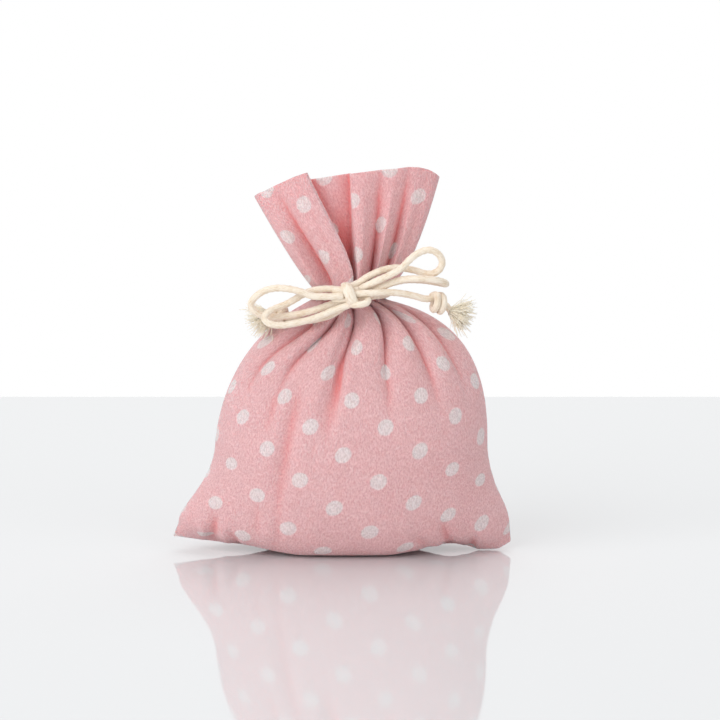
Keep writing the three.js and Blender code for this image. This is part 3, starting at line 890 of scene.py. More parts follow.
@dataclass
class Tail(Strand):
    """A tail of the bow: it ends in an overhand knot and a frayed brush of fibres.

    Attributes:
        fray_way: The direction in which the frayed end points.
        stub: How far the cord's end leans out of the knot.
        stub_reach: How far past the coil it starts to.
        seed: The seed of the frayed yarns' scatter.
        coil_radius: The radius of the knot's coil.
        coil_turns: How often the cord goes round.
        coil_points: How many points a turn has.
        coil_length: The coil's length.
        coil_start: The angle at which the coil starts.
        coil_shift: How far the coil lies past the knot's middle.
        way_in: The cord's way through the coil before its turns.
        way_out: Its way back through the coil after them.
        thinning: Which of the tail's own points are kept: one in so many.
        fray: The frayed yarns.
    """

    far_end: FarEnd = FarEnd.KNOT
    fray_way: Place = (1.0, 0.0, 0.0)
    stub: Place = (1.0, 0.0, 0.0)
    stub_reach: float = 0.9
    seed: int = 1
    coil_radius: float = 2.3
    coil_turns: float = 1.75
    coil_points: int = 12
    coil_length: float = 3.6
    coil_start: float = 1.2
    coil_shift: float = 0.3
    way_in: Sequence[KnotPoint] = (
        KnotPoint(-1.0, 0.4, 0.6, 0.8), KnotPoint(0.0, 0.2, 0.6, 0.8), KnotPoint(1.0, 0.0, 0.6, 1.5),
    )
    way_out: Sequence[KnotPoint] = (
        KnotPoint(-1.0, -0.2, 0.9, 1.5), KnotPoint(0.0, -0.6, 1.5, 0.8), KnotPoint(1.0, 0.0, 1.5, 0.6),
    )
    thinning: int = 8
    fray: Fray = Fray()

    def centreline(self) -> np.ndarray:
        """Runs from the bow knot along the tail and through its overhand knot.

        Returns:
            The points in millimetres.
        """
        tail = self.braid.route([self.tucked(self.route[0]), *self.route])
        ahead = tail[-1] - tail[-4]
        ahead /= np.linalg.norm(ahead)
        side = np.cross(ahead, (0.0, 1.0, 0.0))
        side /= np.linalg.norm(side)
        front = np.cross(side, ahead)
        half = self.coil_length / 2
        centre = tail[-1] + ahead * (half + self.braid.diameter / 2)

        def at(along: float, turn: float, out: float) -> np.ndarray:
            """Places a point round the knot's axis."""
            return centre + ahead * along + (side * math.cos(turn) + front * math.sin(turn)) * out

        knot = [at(point.end * half + point.shift, point.turn, point.out) for point in self.way_in]
        for share in np.linspace(0.0, 1.0, int(self.coil_turns * self.coil_points) + 1):
            turn = self.coil_start + share * self.coil_turns * 2 * math.pi
            knot.append(at(half * (1 - 2 * share) + self.coil_shift, turn, self.coil_radius))
        knot += [at(point.end * half + point.shift, turn + point.turn, point.out) for point in self.way_out]
        knot.append(centre + ahead * (half + self.stub_reach) + np.array(self.stub))
        return self.braid.route(np.vstack([tail[:-1:self.thinning], knot]))

    def build(self, finishes: CordFinishes) -> None:
        """Makes the tail with its knot and frayed end.

        Args:
            finishes: The cord's materials.
        """
        line = self.centreline()
        piece = self.tube(line, finishes.cord)
        side = self.name.split("_")[0]
        dress(piece, self.body, Slot.CORD, self.name, f"{side}_end_knot")
        way = np.array(self.fray_way) / np.linalg.norm(self.fray_way)
        yarns = self.fray.brush(line[-1], way, self.seed)
        brush = closed_object(f"{side}_frayed_fibres", yarns, finishes.fibres)
        dress(brush, self.body, Slot.CORD, f"{side}_frayed_end")
        self.declare(piece, line, [brush])


@dataclass
class Bow:
    """The cord's bow: neck band, knot, four loops and two tails with knotted, frayed ends."""

    upper_left: Sequence[Place] = (
        (-2.9, -15.4, 77.4), (-5.6, -15.6, 77.4), (-8.5, -15.8, 77.6), (-11.5, -15.9, 78.8),
        (-15.3, -15.7, 79.7), (-19.4, -15.2, 79.8), (-22.8, -14.5, 78.7), (-25.2, -13.8, 76.8),
        (-26.2, -13.2, 75.0), (-25.4, -12.8, 73.0), (-23.2, -12.5, 71.6), (-19.7, -12.4, 71.1),
        (-15.6, -12.4, 71.5), (-11.5, -12.4, 72.2), (-7.1, -12.5, 73.4), (-2.9, -12.6, 74.9),
    )
    lower_left: Sequence[Place] = (
        (-2.9, -12.6, 79.3), (-6.2, -12.5, 79.2), (-9.1, -12.4, 78.6), (-11.5, -12.4, 77.5),
        (-13.5, -12.7, 76.3), (-16.2, -13.4, 74.9), (-19.1, -14.6, 73.9), (-21.4, -15.8, 72.7),
        (-22.2, -16.7, 71.2), (-21.0, -17.2, 69.9), (-18.2, -17.2, 69.3), (-14.1, -16.8, 69.7),
        (-10.0, -16.3, 70.6), (-6.2, -15.8, 71.8), (-2.9, -15.5, 73.2),
    )
    left_tail: Sequence[Place] = (
        (-2.9, -12.8, 71.8), (-5.9, -12.5, 70.8), (-8.9, -11.9, 70.1), (-11.5, -11.0, 69.8),
        (-13.6, -9.9, 69.9), (-15.4, -8.9, 70.2),
    )
    upper_right: Sequence[Place] = (
        (4.9, -13.0, 79.1), (7.1, -13.4, 80.3), (10.6, -14.7, 82.1), (14.6, -15.4, 84.0),
        (17.3, -15.4, 85.7), (19.4, -15.2, 87.9), (22.0, -14.8, 89.9), (25.0, -14.3, 90.8),
        (27.6, -13.8, 89.8), (29.0, -13.2, 87.3), (28.2, -12.5, 84.9), (26.3, -11.7, 83.7),
        (23.8, -11.2, 83.7), (21.3, -11.1, 84.5), (18.5, -11.4, 85.1), (15.9, -11.7, 85.4),
        (12.9, -11.8, 85.0), (9.7, -11.8, 83.9), (7.1, -11.6, 82.5), (4.9, -11.4, 81.0),
    )
    lower_right: Sequence[Place] = (
        (4.9, -12.6, 76.4), (7.6, -12.6, 77.4), (10.3, -12.6, 79.1), (12.9, -12.8, 80.4),
        (15.6, -13.4, 81.6), (18.5, -14.1, 82.3), (21.8, -14.5, 82.5), (25.0, -14.2, 82.3),
        (27.8, -13.2, 81.8), (29.7, -11.4, 81.0), (30.2, -9.4, 80.4), (29.7, -7.4, 80.2),
        (27.8, -5.8, 80.4), (25.0, -5.0, 80.8), (21.8, -5.4, 81.1), (18.5, -6.5, 81.2),
        (15.3, -8.0, 80.7), (12.1, -9.5, 80.0), (8.5, -10.3, 79.0), (4.9, -10.6, 78.0),
    )
    right_tail: Sequence[Place] = (
        (4.9, -15.4, 78.3), (7.3, -15.4, 78.4), (10.3, -15.1, 78.5), (13.8, -14.3, 78.5),
        (17.6, -13.0, 78.0), (21.8, -11.3, 76.9), (25.4, -9.8, 75.7),
    )
    lower_left_tuck: float = 5.2
    loose_tuck: float = 1.6
    left_fray: Place = (-0.9, 0.1, -0.42)
    right_fray: Place = (0.94, 0.05, -0.34)
    left_stub: Place = (-0.9, 0.1, -0.5)
    right_stub: Place = (1.7, 0.1, -2.0)
    seeds: tuple[int, int] = (3, 5)
    neck_oval: tuple[float, float] = (11.4, 8.7)
    neck_centre: Place = (2.0, 0.0, 76.5)
    neck_opening: float = 0.2
    neck_points: int = 60
    wrap: Sequence[tuple[float, float]] = (
        (-11.4, 78.6), (-12.6, 79.9), (-14.4, 80.5), (-16.0, 79.9), (-16.8, 78.3),
        (-16.8, 76.6), (-16.0, 75.3), (-14.4, 74.9), (-12.6, 75.5), (-11.4, 76.6),
    )
    wrap_column: float = 2.6
    wrap_middle: float = 77.5
    wrap_breadth: float = 1.7
    wrap_lean: float = 0.36
    lobe: Sequence[Place] = (
        (2.6, -15.6, 75.3), (4.0, -16.7, 75.2), (5.6, -17.0, 75.3), (7.1, -16.4, 75.7),
        (7.6, -15.0, 76.4), (6.5, -13.8, 77.0), (4.5, -13.4, 77.0),
    )
    core: Sequence[Place] = ((-2.6, -14.0, 0.0), (1.0, -14.3, 0.2), (4.8, -14.0, 0.0))
    core_levels: Sequence[float] = (76.3, 77.7, 79.1)
    braid: Braid = Braid()

    def build(self) -> None:
        """Makes every stretch of the bow."""
        finishes = CordFinishes(CottonCord().material(), CottonFibres().material())
        for strand in (
            Strand("upper_left_loop", Body.LEFT_BOW, self.upper_left),
            Strand("lower_left_loop", Body.LEFT_BOW, self.lower_left, tuck=self.lower_left_tuck),
            Tail("left_tail", Body.LEFT_BOW, self.left_tail, fray_way=self.left_fray,
                 stub=self.left_stub, seed=self.seeds[0]),
            Strand("upper_right_loop", Body.RIGHT_BOW, self.upper_right),
            Strand("lower_right_loop", Body.RIGHT_BOW, self.lower_right),
            Tail("right_tail", Body.LOOSE_TAIL, self.right_tail, fray_way=self.right_fray,
                 stub=self.right_stub, seed=self.seeds[1], tuck=self.loose_tuck),
        ):
            strand.build(finishes)
        self.knot(finishes.cord)
        self.neck_band(finishes.cord)

    def knot(self, material: bpy.types.Material) -> None:
        """Ties the middle of the bow: the turn over the gathered strands, the tucked lobe and the strands.

        Args:
            material: The cord's finish.
        """
        bm = bmesh.new()
        self.braid.run(bm, self.braid.route([(0.0, y, z) for y, z in self.wrap]))
        for vert in bm.verts:
            lean = self.wrap_lean * (vert.co.z - self.wrap_middle * MM)
            vert.co.x = vert.co.x * self.wrap_breadth + (self.wrap_column * MM - lean)
        strands = [[(x, y, level + z) for x, y, z in self.core] for level in self.core_levels]
        for points in (self.lobe, *strands):
            self.braid.run(bm, self.braid.route(points))
        dress(closed_object("bow_knot_cord", bm, material), Body.POUCH, Slot.CORD, "bow_knot")

    def neck_band(self, material: bpy.types.Material) -> None:
        """Lays the turn of cord round the gathered neck.

        Args:
            material: The cord's finish.
        """
        opening = self.neck_opening
        turns = np.linspace(opening, 2 * math.pi - opening, self.neck_points) - math.pi / 2
        wide, deep = self.neck_oval
        oval = np.stack([wide * np.cos(turns), deep * np.sin(turns), 0 * turns], axis=1)
        bm = bmesh.new()
        self.braid.run(bm, spaced(np.array(self.neck_centre) + oval, self.braid.step))
        dress(closed_object("neck_band_cord", bm, material), Body.POUCH, Slot.CORD, "neck_band")


@dataclass(frozen=True)
class Fold:
    """One ridge or valley of a panel's gathers.

    Attributes:
        share: Its share of the way across the belly, from the left seam.
        neck: Its place under the cord, as shares of the neck's half width and half depth.
        top: Its place on the top edge: distance across, distance out from the seam, and height.
        depth: How deep it runs down the body as a valley; zero for a ridge.
        swing: How far it swings aside and sinks in, low in the ruffle.
    """

    share: float
    neck: tuple[float, float]
    top: Place
    depth: float = 0.0
    swing: tuple[float, float] = (0.0, 0.0)


@dataclass(frozen=True)
class Wrinkle:
    """A soft crease in the front panel.

    Attributes:
        route: The line that it follows, seen from the front: distance across and height.
        depth: How far it sinks.
        width: Half its width.
        step: The distance between the points of its line.
        fade: How fast it dies out at its ends; smaller is later.
        bank: The height of its banks, as a share of its depth.
        bank_place: How far aside they lie, in half widths.
    """

    route: Sequence[tuple[float, float]]
    depth: float
    width: float
    step: float = 0.8
    fade: float = 0.6
    bank: float = 0.35
    bank_place: float = 2.0

    def sink(self, points: np.ndarray) -> np.ndarray:
        """Gives how far each point sinks: a valley between two low banks that dies out at both ends.

        Args:
            points: The panel's points.

        Returns:
            The distance into the pouch.
        """
        line = smooth_route([(x, 0.0, z) for x, z in self.route], self.step)
        apart = np.hypot(points[:, :, None, 0] - line[:, 0], points[:, :, None, 2] - line[:, 2])
        reach = apart.min(2) / self.width
        fade = np.sin(math.pi * ((apart.argmin(2) + 0.5) / len(line))) ** self.fade
        banks = self.bank * np.exp(-(reach - self.bank_place) ** 2)
        return self.depth * fade * (np.exp(-reach ** 2) - banks)


@dataclass(frozen=True)
class Side:
    """One side seam's outline, from the bottom up: how far out it lies, and at what height.

    Attributes:
        corner: The point of the bottom corner.
        blunt: Where the corner's point ends.
        belly: How far out the seam lies beside the belly.
        elbow: What the seam bends towards above the corner.
        shoulder: What it bends towards above the belly.
        collar: What it bends towards below the neck.
        neck: How far out it lies at the neck.
    """

    corner: tuple[float, float]
    blunt: tuple[float, float]
    belly: float
    elbow: tuple[float, float]
    shoulder: tuple[float, float]
    collar: tuple[float, float]
    neck: float


@dataclass
class PouchShape:
    """The form of the pouch before its cloth settles, in millimetres."""

    cloth_width: float = 100.0
    base_rows: int = 7
    lower_rows: int = 26
    upper_rows: int = 40
    neck_rows: int = 3
    ruffle_rows: int = 24
    columns: int = 240
    fold_steps: int = 24
    base_half_depth: float = 9.0
    base_share: float = 0.26
    base_curve: float = 1.3
    foot_pull: float = 9.0
    droop: float = 5.0
    droop_place: tuple[float, float] = (44.5, 7.0)
    droop_height: float = 14.0
    floor_gap: float = 0.3
    belly: tuple[float, float] = (22.8, 30.0)
    belly_pull: tuple[float, float] = (17.0, 20.0)
    belly_side_height: float = 33.0
    belly_side_pull: float = 12.0
    least_depth: float = 0.05
    neck_half_depth: float = 8.0
    neck_pull: tuple[float, float] = (2.5, 8.0)
    neck_height: float = 76.5
    neck_length: float = 3.2
    gather_start: float = 40.0
    gather_lead: float = 4.0
    gather_rest: float = 6.0
    gather_depth: float = 6.8
    draw_start: float = 54.0
    neck_blend: float = 9.0
    crease: float = 2.6
    cloth_allowance: float = 0.9
    flare: tuple[float, float] = (0.88, 0.55)
    lean: float = 0.8
    left: Side = Side((50.0, 4.2), (48.4, 8.2), 37.5, (49.0, 13.0), (35.0, 52.0), (26.0, 66.5), 8.5)
    right: Side = Side((50.0, 4.6), (49.6, 8.6), 43.0, (49.5, 14.0), (43.0, 55.0), (36.0, 70.0), 12.5)
    front: Sequence[Fold] = (
        Fold(0.000, (-1.00, 0.00), (-25.6, 0.0, 105.0)),
        Fold(0.070, (-0.72, 0.66), (-22.6, 2.4, 106.8)),
        Fold(0.130, (-0.42, 0.44), (-19.6, 4.3, 108.4), 0.75, (2.0, 3.0)),
        Fold(0.190, (-0.30, 0.93), (-16.7, 5.9, 109.9), 0.0, (2.4, 0.0)),
        Fold(0.250, (-0.20, 0.93), (-13.9, 7.3, 111.3), 1.0, (3.0, 0.3)),
        Fold(0.350, (-0.08, 0.99), (-9.8, 8.8, 112.8), 0.0, (5.2, 0.0)),
        Fold(0.405, (-0.04, 0.74), (-8.8, 5.6, 110.5), 0.5, (2.6, 2.4)),
        Fold(0.440, (0.04, 0.45), (2.4, 5.6, 112.2), 1.3, (0.4, 2.8)),
        Fold(0.490, (0.20, 0.95), (2.2, 8.5, 112.3), 0.0, (1.2, 0.0)),
        Fold(0.550, (0.30, 0.93), (6.8, 8.9, 112.9)),
        Fold(0.610, (0.40, 0.50), (11.2, 7.9, 113.3), 1.0, (0.8, 4.4)),
        Fold(0.690, (0.54, 0.82), (15.6, 7.1, 113.7)),
        Fold(0.770, (0.66, 0.46), (19.4, 5.4, 114.0), 1.0, (0.5, 4.0)),
        Fold(0.825, (0.80, 0.58), (22.4, 4.3, 113.9)),
        Fold(0.880, (0.91, 0.26), (25.0, 2.9, 113.2), 0.8),
        Fold(1.000, (1.00, 0.00), (28.5, 0.0, 110.7)),
    )
    wrinkles: Sequence[Wrinkle] = (
        Wrinkle(((-11.2, 56.2), (-12.3, 50.9), (-14.7, 41.1), (-16.5, 30.7), (-19.0, 16.3)), 1.3, 2.2),
        Wrinkle(((-19.1, 50.0), (-20.0, 45.0), (-21.5, 38.0)), 0.7, 1.6),
        Wrinkle(((0.0, 59.0), (-1.3, 53.5), (-2.6, 48.8), (-3.8, 43.5), (-4.5, 38.0)), 1.0, 1.8),
        Wrinkle(((-24.3, 18.0), (-24.6, 12.0), (-24.7, 6.0)), 0.5, 1.2),
        Wrinkle(((-18.0, 22.0), (-18.4, 12.0), (-18.6, 3.1)), 0.5, 1.2),
        Wrinkle(((-37.5, 12.5), (-37.7, 8.0), (-38.3, 3.0)), 1.4, 1.6),
        Wrinkle(((-33.0, 7.0), (-31.4, 4.6), (-30.8, 1.5)), 0.8, 1.2),
        Wrinkle(((29.4, 11.0), (30.3, 7.6), (31.9, 2.0)), 1.1, 1.4),
        Wrinkle(((21.0, 7.0), (23.0, 5.0), (25.0, 2.4)), 0.7, 1.3),
        Wrinkle(((38.9, 5.0), (38.6, 2.8), (38.3, 0.5)), 0.8, 1.1),
        Wrinkle(((6.6, 72.6), (6.0, 70.4), (5.5, 68.0)), 1.2, 0.9),
    )
    back: Sequence[Fold] = (
        Fold(0.00, (-1.00, 0.00), (-25.6, 0.0, 105.0)),
        Fold(0.10, (-0.74, 0.63), (-19.5, 4.8, 106.4)),
        Fold(0.22, (-0.46, 0.40), (-13.0, 2.0, 107.2), 1.0),
        Fold(0.32, (-0.30, 0.94), (-7.5, 6.8, 108.8)),
        Fold(0.43, (-0.08, 0.40), (-1.5, 2.0, 109.0), 1.2),
        Fold(0.55, (0.14, 0.98), (5.5, 7.2, 110.0)),
        Fold(0.66, (0.36, 0.40), (11.5, 1.8, 110.0), 1.1),
        Fold(0.76, (0.56, 0.80), (17.0, 6.6, 110.4)),
        Fold(0.85, (0.70, 0.38), (21.5, 1.6, 110.4), 1.0),
        Fold(0.93, (0.87, 0.46), (27.0, 3.6, 110.8)),
        Fold(1.00, (1.00, 0.00), (28.5, 0.0, 110.7)),
    )

    @property
    def throat(self) -> float:
        """The height of the neck's lower end."""
        return self.neck_height - self.neck_length / 2

    @property
    def neck_row(self) -> int:
        """The row at the neck's lower end."""
        return self.base_rows + self.lower_rows + self.upper_rows

    def middle_profile(self) -> np.ndarray:
        """Follows the middle of a panel up to the neck.

        Returns:
            Half depth and height at every row.
        """
        foot, neck = (self.base_half_depth, self.floor_gap), (self.neck_half_depth, self.throat)
        deep, height = self.belly
        from_foot = (foot[0] + self.foot_pull, foot[1])
        under_neck = (neck[0] + self.neck_pull[0], neck[1] - self.neck_pull[1])
        below, above = (deep, height - self.belly_pull[0]), (deep, height + self.belly_pull[1])
        return chained([
            ((0.0, self.floor_gap), None, None, foot, self.base_rows),
            (foot, from_foot, below, self.belly, self.lower_rows),
            (self.belly, above, under_neck, neck, self.upper_rows),
            (neck, None, None, (neck[0], neck[1] + self.neck_length), self.neck_rows),
        ])

    def side_profile(self, side: Side) -> np.ndarray:
        """Follows a side seam up to the neck.

        Args:
            side: The seam's outline.

        Returns:
            Distance from the middle plane and height at every row.
        """
        belly, neck = (side.belly, self.belly_side_height), (side.neck, self.throat)
        below = (belly[0], belly[1] - self.belly_side_pull)
        return chained([
            (side.corner, None, None, side.blunt, self.base_rows),
            (side.blunt, side.elbow, below, belly, self.lower_rows),
            (belly, side.shoulder, side.collar, neck, self.upper_rows),
            (neck, None, None, (neck[0], neck[1] + self.neck_length), self.neck_rows),
        ])

    def surface(self) -> tuple[np.ndarray, np.ndarray]:
        """Places every point of the cloth, along the front and then back along the back.

        Returns:
            The points by row and column, and each row's distance up the cloth.
        """
        half = self.columns // 2
        front = self.wrinkled(np.array([even_row(row, half) for row in self.panel_rows(self.front, -1.0)]))
        back = [even_row(row, half) for row in self.panel_rows(self.back, 1.0)]
        points = np.array([np.vstack([near[:-1], far[:0:-1]]) for near, far in zip(front, back)])
        lengths = np.linalg.norm(np.diff(points[:, self.columns // 4], axis=0), axis=1)
        middle = self.middle_profile()
        lengths[:len(middle) - 1] = np.linalg.norm(np.diff(middle, axis=0), axis=1)
        return points, np.concatenate([[0.0], np.cumsum(lengths)])

    def wrinkled(self, points: np.ndarray) -> np.ndarray:
        """Presses the wrinkles into the front panel.

        Args:
            points: The panel's points by row and column.

        Returns:
            The moved points.
        """
        sunk = sum(wrinkle.sink(points) for wrinkle in self.wrinkles)
        sunk[:, [0, -1]] = 0.0
        return points - outward(points) * sunk[:, :, None]

    def panel_rows(self, folds: Sequence[Fold], facing: float) -> list[np.ndarray]:
        """Places one panel's rows from the bottom seam to the top of the ruffle.

        Args:
            folds: The panel's folds.
            facing: -1 for the front panel and 1 for the back one.

        Returns:
            The rows, each at every fine step along the folds.
        """
        sides = (self.side_profile(side) for side in (self.left, self.right))
        rows = [self.body_row(folds, *levels) for levels in zip(self.middle_profile(), *sides)]
        top = self.top_row(folds)
        swing = [self.along([fold.swing[way] for fold in folds]) for way in (0, 1)]
        neck = rows[-1]
        for step in range(1, self.ruffle_rows + 1):
            rows.append(self.ruffle_row(neck, top, swing, step / self.ruffle_rows))
        return [row * (1.0, facing, 1.0) for row in rows]

    def along(self, values: Sequence[float], creasing: bool = False) -> np.ndarray:
        """Carries one value per fold along a panel.

        Args:
            values: The value at each fold.
            creasing: Whether it rounds off at each ridge and runs into a crease at each valley.

        Returns:
            The value at every fine step.
        """
        held = np.array(values, float)
        at = np.arange((len(held) - 1) * self.fold_steps + 1) / self.fold_steps
        index = np.minimum(at.astype(int), len(held) - 2)
        first, second, share = held[index], held[index + 1], at - index
        return mix(first, second, creased(share, second < first, self.crease) if creasing else share)

    def plan(self, places: Sequence[tuple[float, float]], centre: float, wide: float,
             deep: float) -> np.ndarray:
        """Joins the folds' places seen from above, with round ridges and tight valleys.

        Args:
            places: Each fold's distance across and out.
            centre: The middle of the oval that they stand round.
            wide: The oval's half width.
            deep: The oval's half depth.

        Returns:
            The places at every fine step.
        """
        held = np.array(places, float)
        half, span = (held[1:] + held[:-1]) / 2, np.diff(held, axis=0)
        out = np.stack([(half[:, 0] - centre) / wide ** 2, half[:, 1] / deep ** 2], axis=1)
        out /= np.linalg.norm(out, axis=1)[:, None]
        rise = (span * out).sum(1)[:, None, None]
        share = (np.arange(self.fold_steps) / self.fold_steps)[None, :, None]
        shift = rise * (creased(share, rise < 0, self.crease) - share) * out[:, None]
        return np.vstack([(held[:-1, None] + span[:, None] * share + shift).reshape(-1, 2), held[-1:]])

    def body_row(self, folds: Sequence[Fold], middle: np.ndarray, left: np.ndarray,
                 right: np.ndarray) -> np.ndarray:
        """Places one row of the body: round on the belly, gathered towards the neck.

        Args:
            folds: The panel's folds.
            middle: Half depth and height at the middle.
            left: Reach and height of the left seam.
            right: Reach and height of the right seam.

        Returns:
            The row's points, at every fine step along the folds.
        """
        deep, height = middle
        centre, wide = (right[0] - left[0]) / 2, (right[0] + left[0]) / 2
        even = even_turns(wide, max(deep, self.least_depth), self.along([fold.share for fold in folds]))
        neck = self.plan([fold.neck for fold in folds], 0.0, 1.0, 1.0)
        drawn = ease((height - self.draw_start) / (self.throat - self.draw_start))
        tied = ease((height - self.throat + self.neck_blend) / self.neck_blend)
        led = mix(np.arcsin(np.maximum.accumulate(neck[:, 0])), np.arctan2(neck[:, 0], neck[:, 1]), tied)
        turn = mix(even, led, drawn)
        across, out = np.sin(turn), np.cos(turn)
        start = self.gather_start - self.gather_lead
        sunk = self.gather_depth * ease((height - start) / (self.throat + self.gather_rest - start))
        valley = -self.along([-fold.depth for fold in folds], True) * sunk * (1 - tied)
        facing = np.hypot(deep * across, wide * out)
        reach = mix(1.0, np.hypot(neck[:, 0], neck[:, 1]), tied)
        outer = np.clip((np.abs(across) - self.base_share) / (1 - self.base_share), 0.0, 1.0)
        rise = mix(height, np.where(across < 0, left[1], right[1]), outer ** self.base_curve)
        aside = centre + wide * reach * across - valley * deep * across / facing
        hang = np.exp(-((aside - self.droop_place[0]) / self.droop_place[1]) ** 2)
        rise = np.maximum(rise - self.droop * hang * ease(1 - rise / self.droop_height), self.floor_gap)
        return np.stack([aside, deep * reach * out - valley * wide * out / facing, rise], axis=1)

    def top_row(self, folds: Sequence[Fold]) -> np.ndarray:
        """Follows the top edge over its ridges and valleys.

        Args:
            folds: The panel's folds.

        Returns:
            The row's points, at every fine step along the folds.
        """
        tops = np.array([fold.top for fold in folds])
        first, last = tops[0, 0], tops[-1, 0]
        plan = self.plan(tops[:, :2], (first + last) / 2, (last - first) / 2, tops[:, 1].max())
        plan[:, 1] += self.cloth_allowance * np.minimum(plan[:, 1], 1.0)
        return np.column_stack([plan, self.along(tops[:, 2])])

    def ruffle_row(self, neck: np.ndarray, top: np.ndarray, swing: Sequence[np.ndarray],
                   share: float) -> np.ndarray:
        """Places one row of the ruffle, between the neck and the top edge.

        Args:
            neck: The last row of the neck.
            top: The top edge.
            swing: How far each fold swings aside and sinks in.
            share: How far up the ruffle the row is.

        Returns:
            The row's points, at every fine step along the folds.
        """
        across = np.clip((top[:, 0] - top[0, 0]) / (top[-1, 0] - top[0, 0]), 0, 1)
        flare = share ** mix(*self.flare, across)
        low = math.sin(math.pi * math.sqrt(share))
        return np.stack([
            mix(neck[:, 0], top[:, 0], flare) + swing[0] * low,
            mix(neck[:, 1], top[:, 1], share ** self.lean) - swing[1] * low,
            mix(neck[:, 2], top[:, 2], share),
        ], axis=1)


def even_row(row: np.ndarray, count: int) -> np.ndarray:
    """Spaces a row's points evenly.

    Args:
        row: The row at every fine step.
        count: How many spaces there are.

    Returns:
        The spaced points, both ends kept.
    """
    run = distances(row)
    at = np.linspace(0.0, run[-1], count + 1)
    return np.stack([np.interp(at, run, row[:, axis]) for axis in range(3)], axis=1)


def outward(points: np.ndarray) -> np.ndarray:
    """Gives the unit direction out of a panel at each of its points, by row and column."""
    normal = np.cross(np.gradient(points, axis=1), np.gradient(points, axis=0))
    return normal / np.maximum(np.linalg.norm(normal, axis=2, keepdims=True), TINY)


def creased(share: np.ndarray, falling: np.ndarray, sharpness: float) -> np.ndarray:
    """Shapes the way between a ridge and a valley: round at the ridge, tight at the valley.

    Args:
        share: How far along the way each point is.
        falling: Whether the way goes down to a valley.
        sharpness: How tight the valleys are; 1 is a straight slope.

    Returns:
        The shaped share.
    """
    return np.where(falling, share ** sharpness, 1 - (1 - share) ** sharpness)


def chained(stretches: Sequence[tuple]) -> np.ndarray:
    """Samples lines and Bezier curves end to end.

    Args:
        stretches: Start, two handles or None for a straight line, end and count of rows.

    Returns:
        The points of all the stretches.
    """
    points = [np.array(stretches[0][0], float)[None]]
    for start, first, second, end, count in stretches:
        a, d = np.array(start, float), np.array(end, float)
        b = mix(a, d, 1 / 3) if first is None else np.array(first, float)
        c = mix(a, d, 2 / 3) if second is None else np.array(second, float)
        t = (np.arange(1, count + 1) / count)[:, None]
        points.append(a * (1 - t) ** 3 + 3 * b * t * (1 - t) ** 2 + 3 * c * t * t * (1 - t) + d * t ** 3)
    return np.vstack(points)


def even_turns(wide: float, deep: float, share: np.ndarray) -> np.ndarray:
    """Gives the turns that divide half an oval evenly by length, from its left end round the front.

    Args:
        wide: The oval's half width.
        deep: The oval's half depth.
        share: Shares of the way.

    Returns:
        The turns from the front.
    """
    turn = np.linspace(-math.pi / 2, math.pi / 2, OVAL_POINTS)
    speed = np.hypot(wide * np.cos(turn), deep * np.sin(turn))
    run = np.concatenate([[0.0], np.cumsum((speed[1:] + speed[:-1]) / 2)])
    return np.interp(share, run / run[-1], turn)


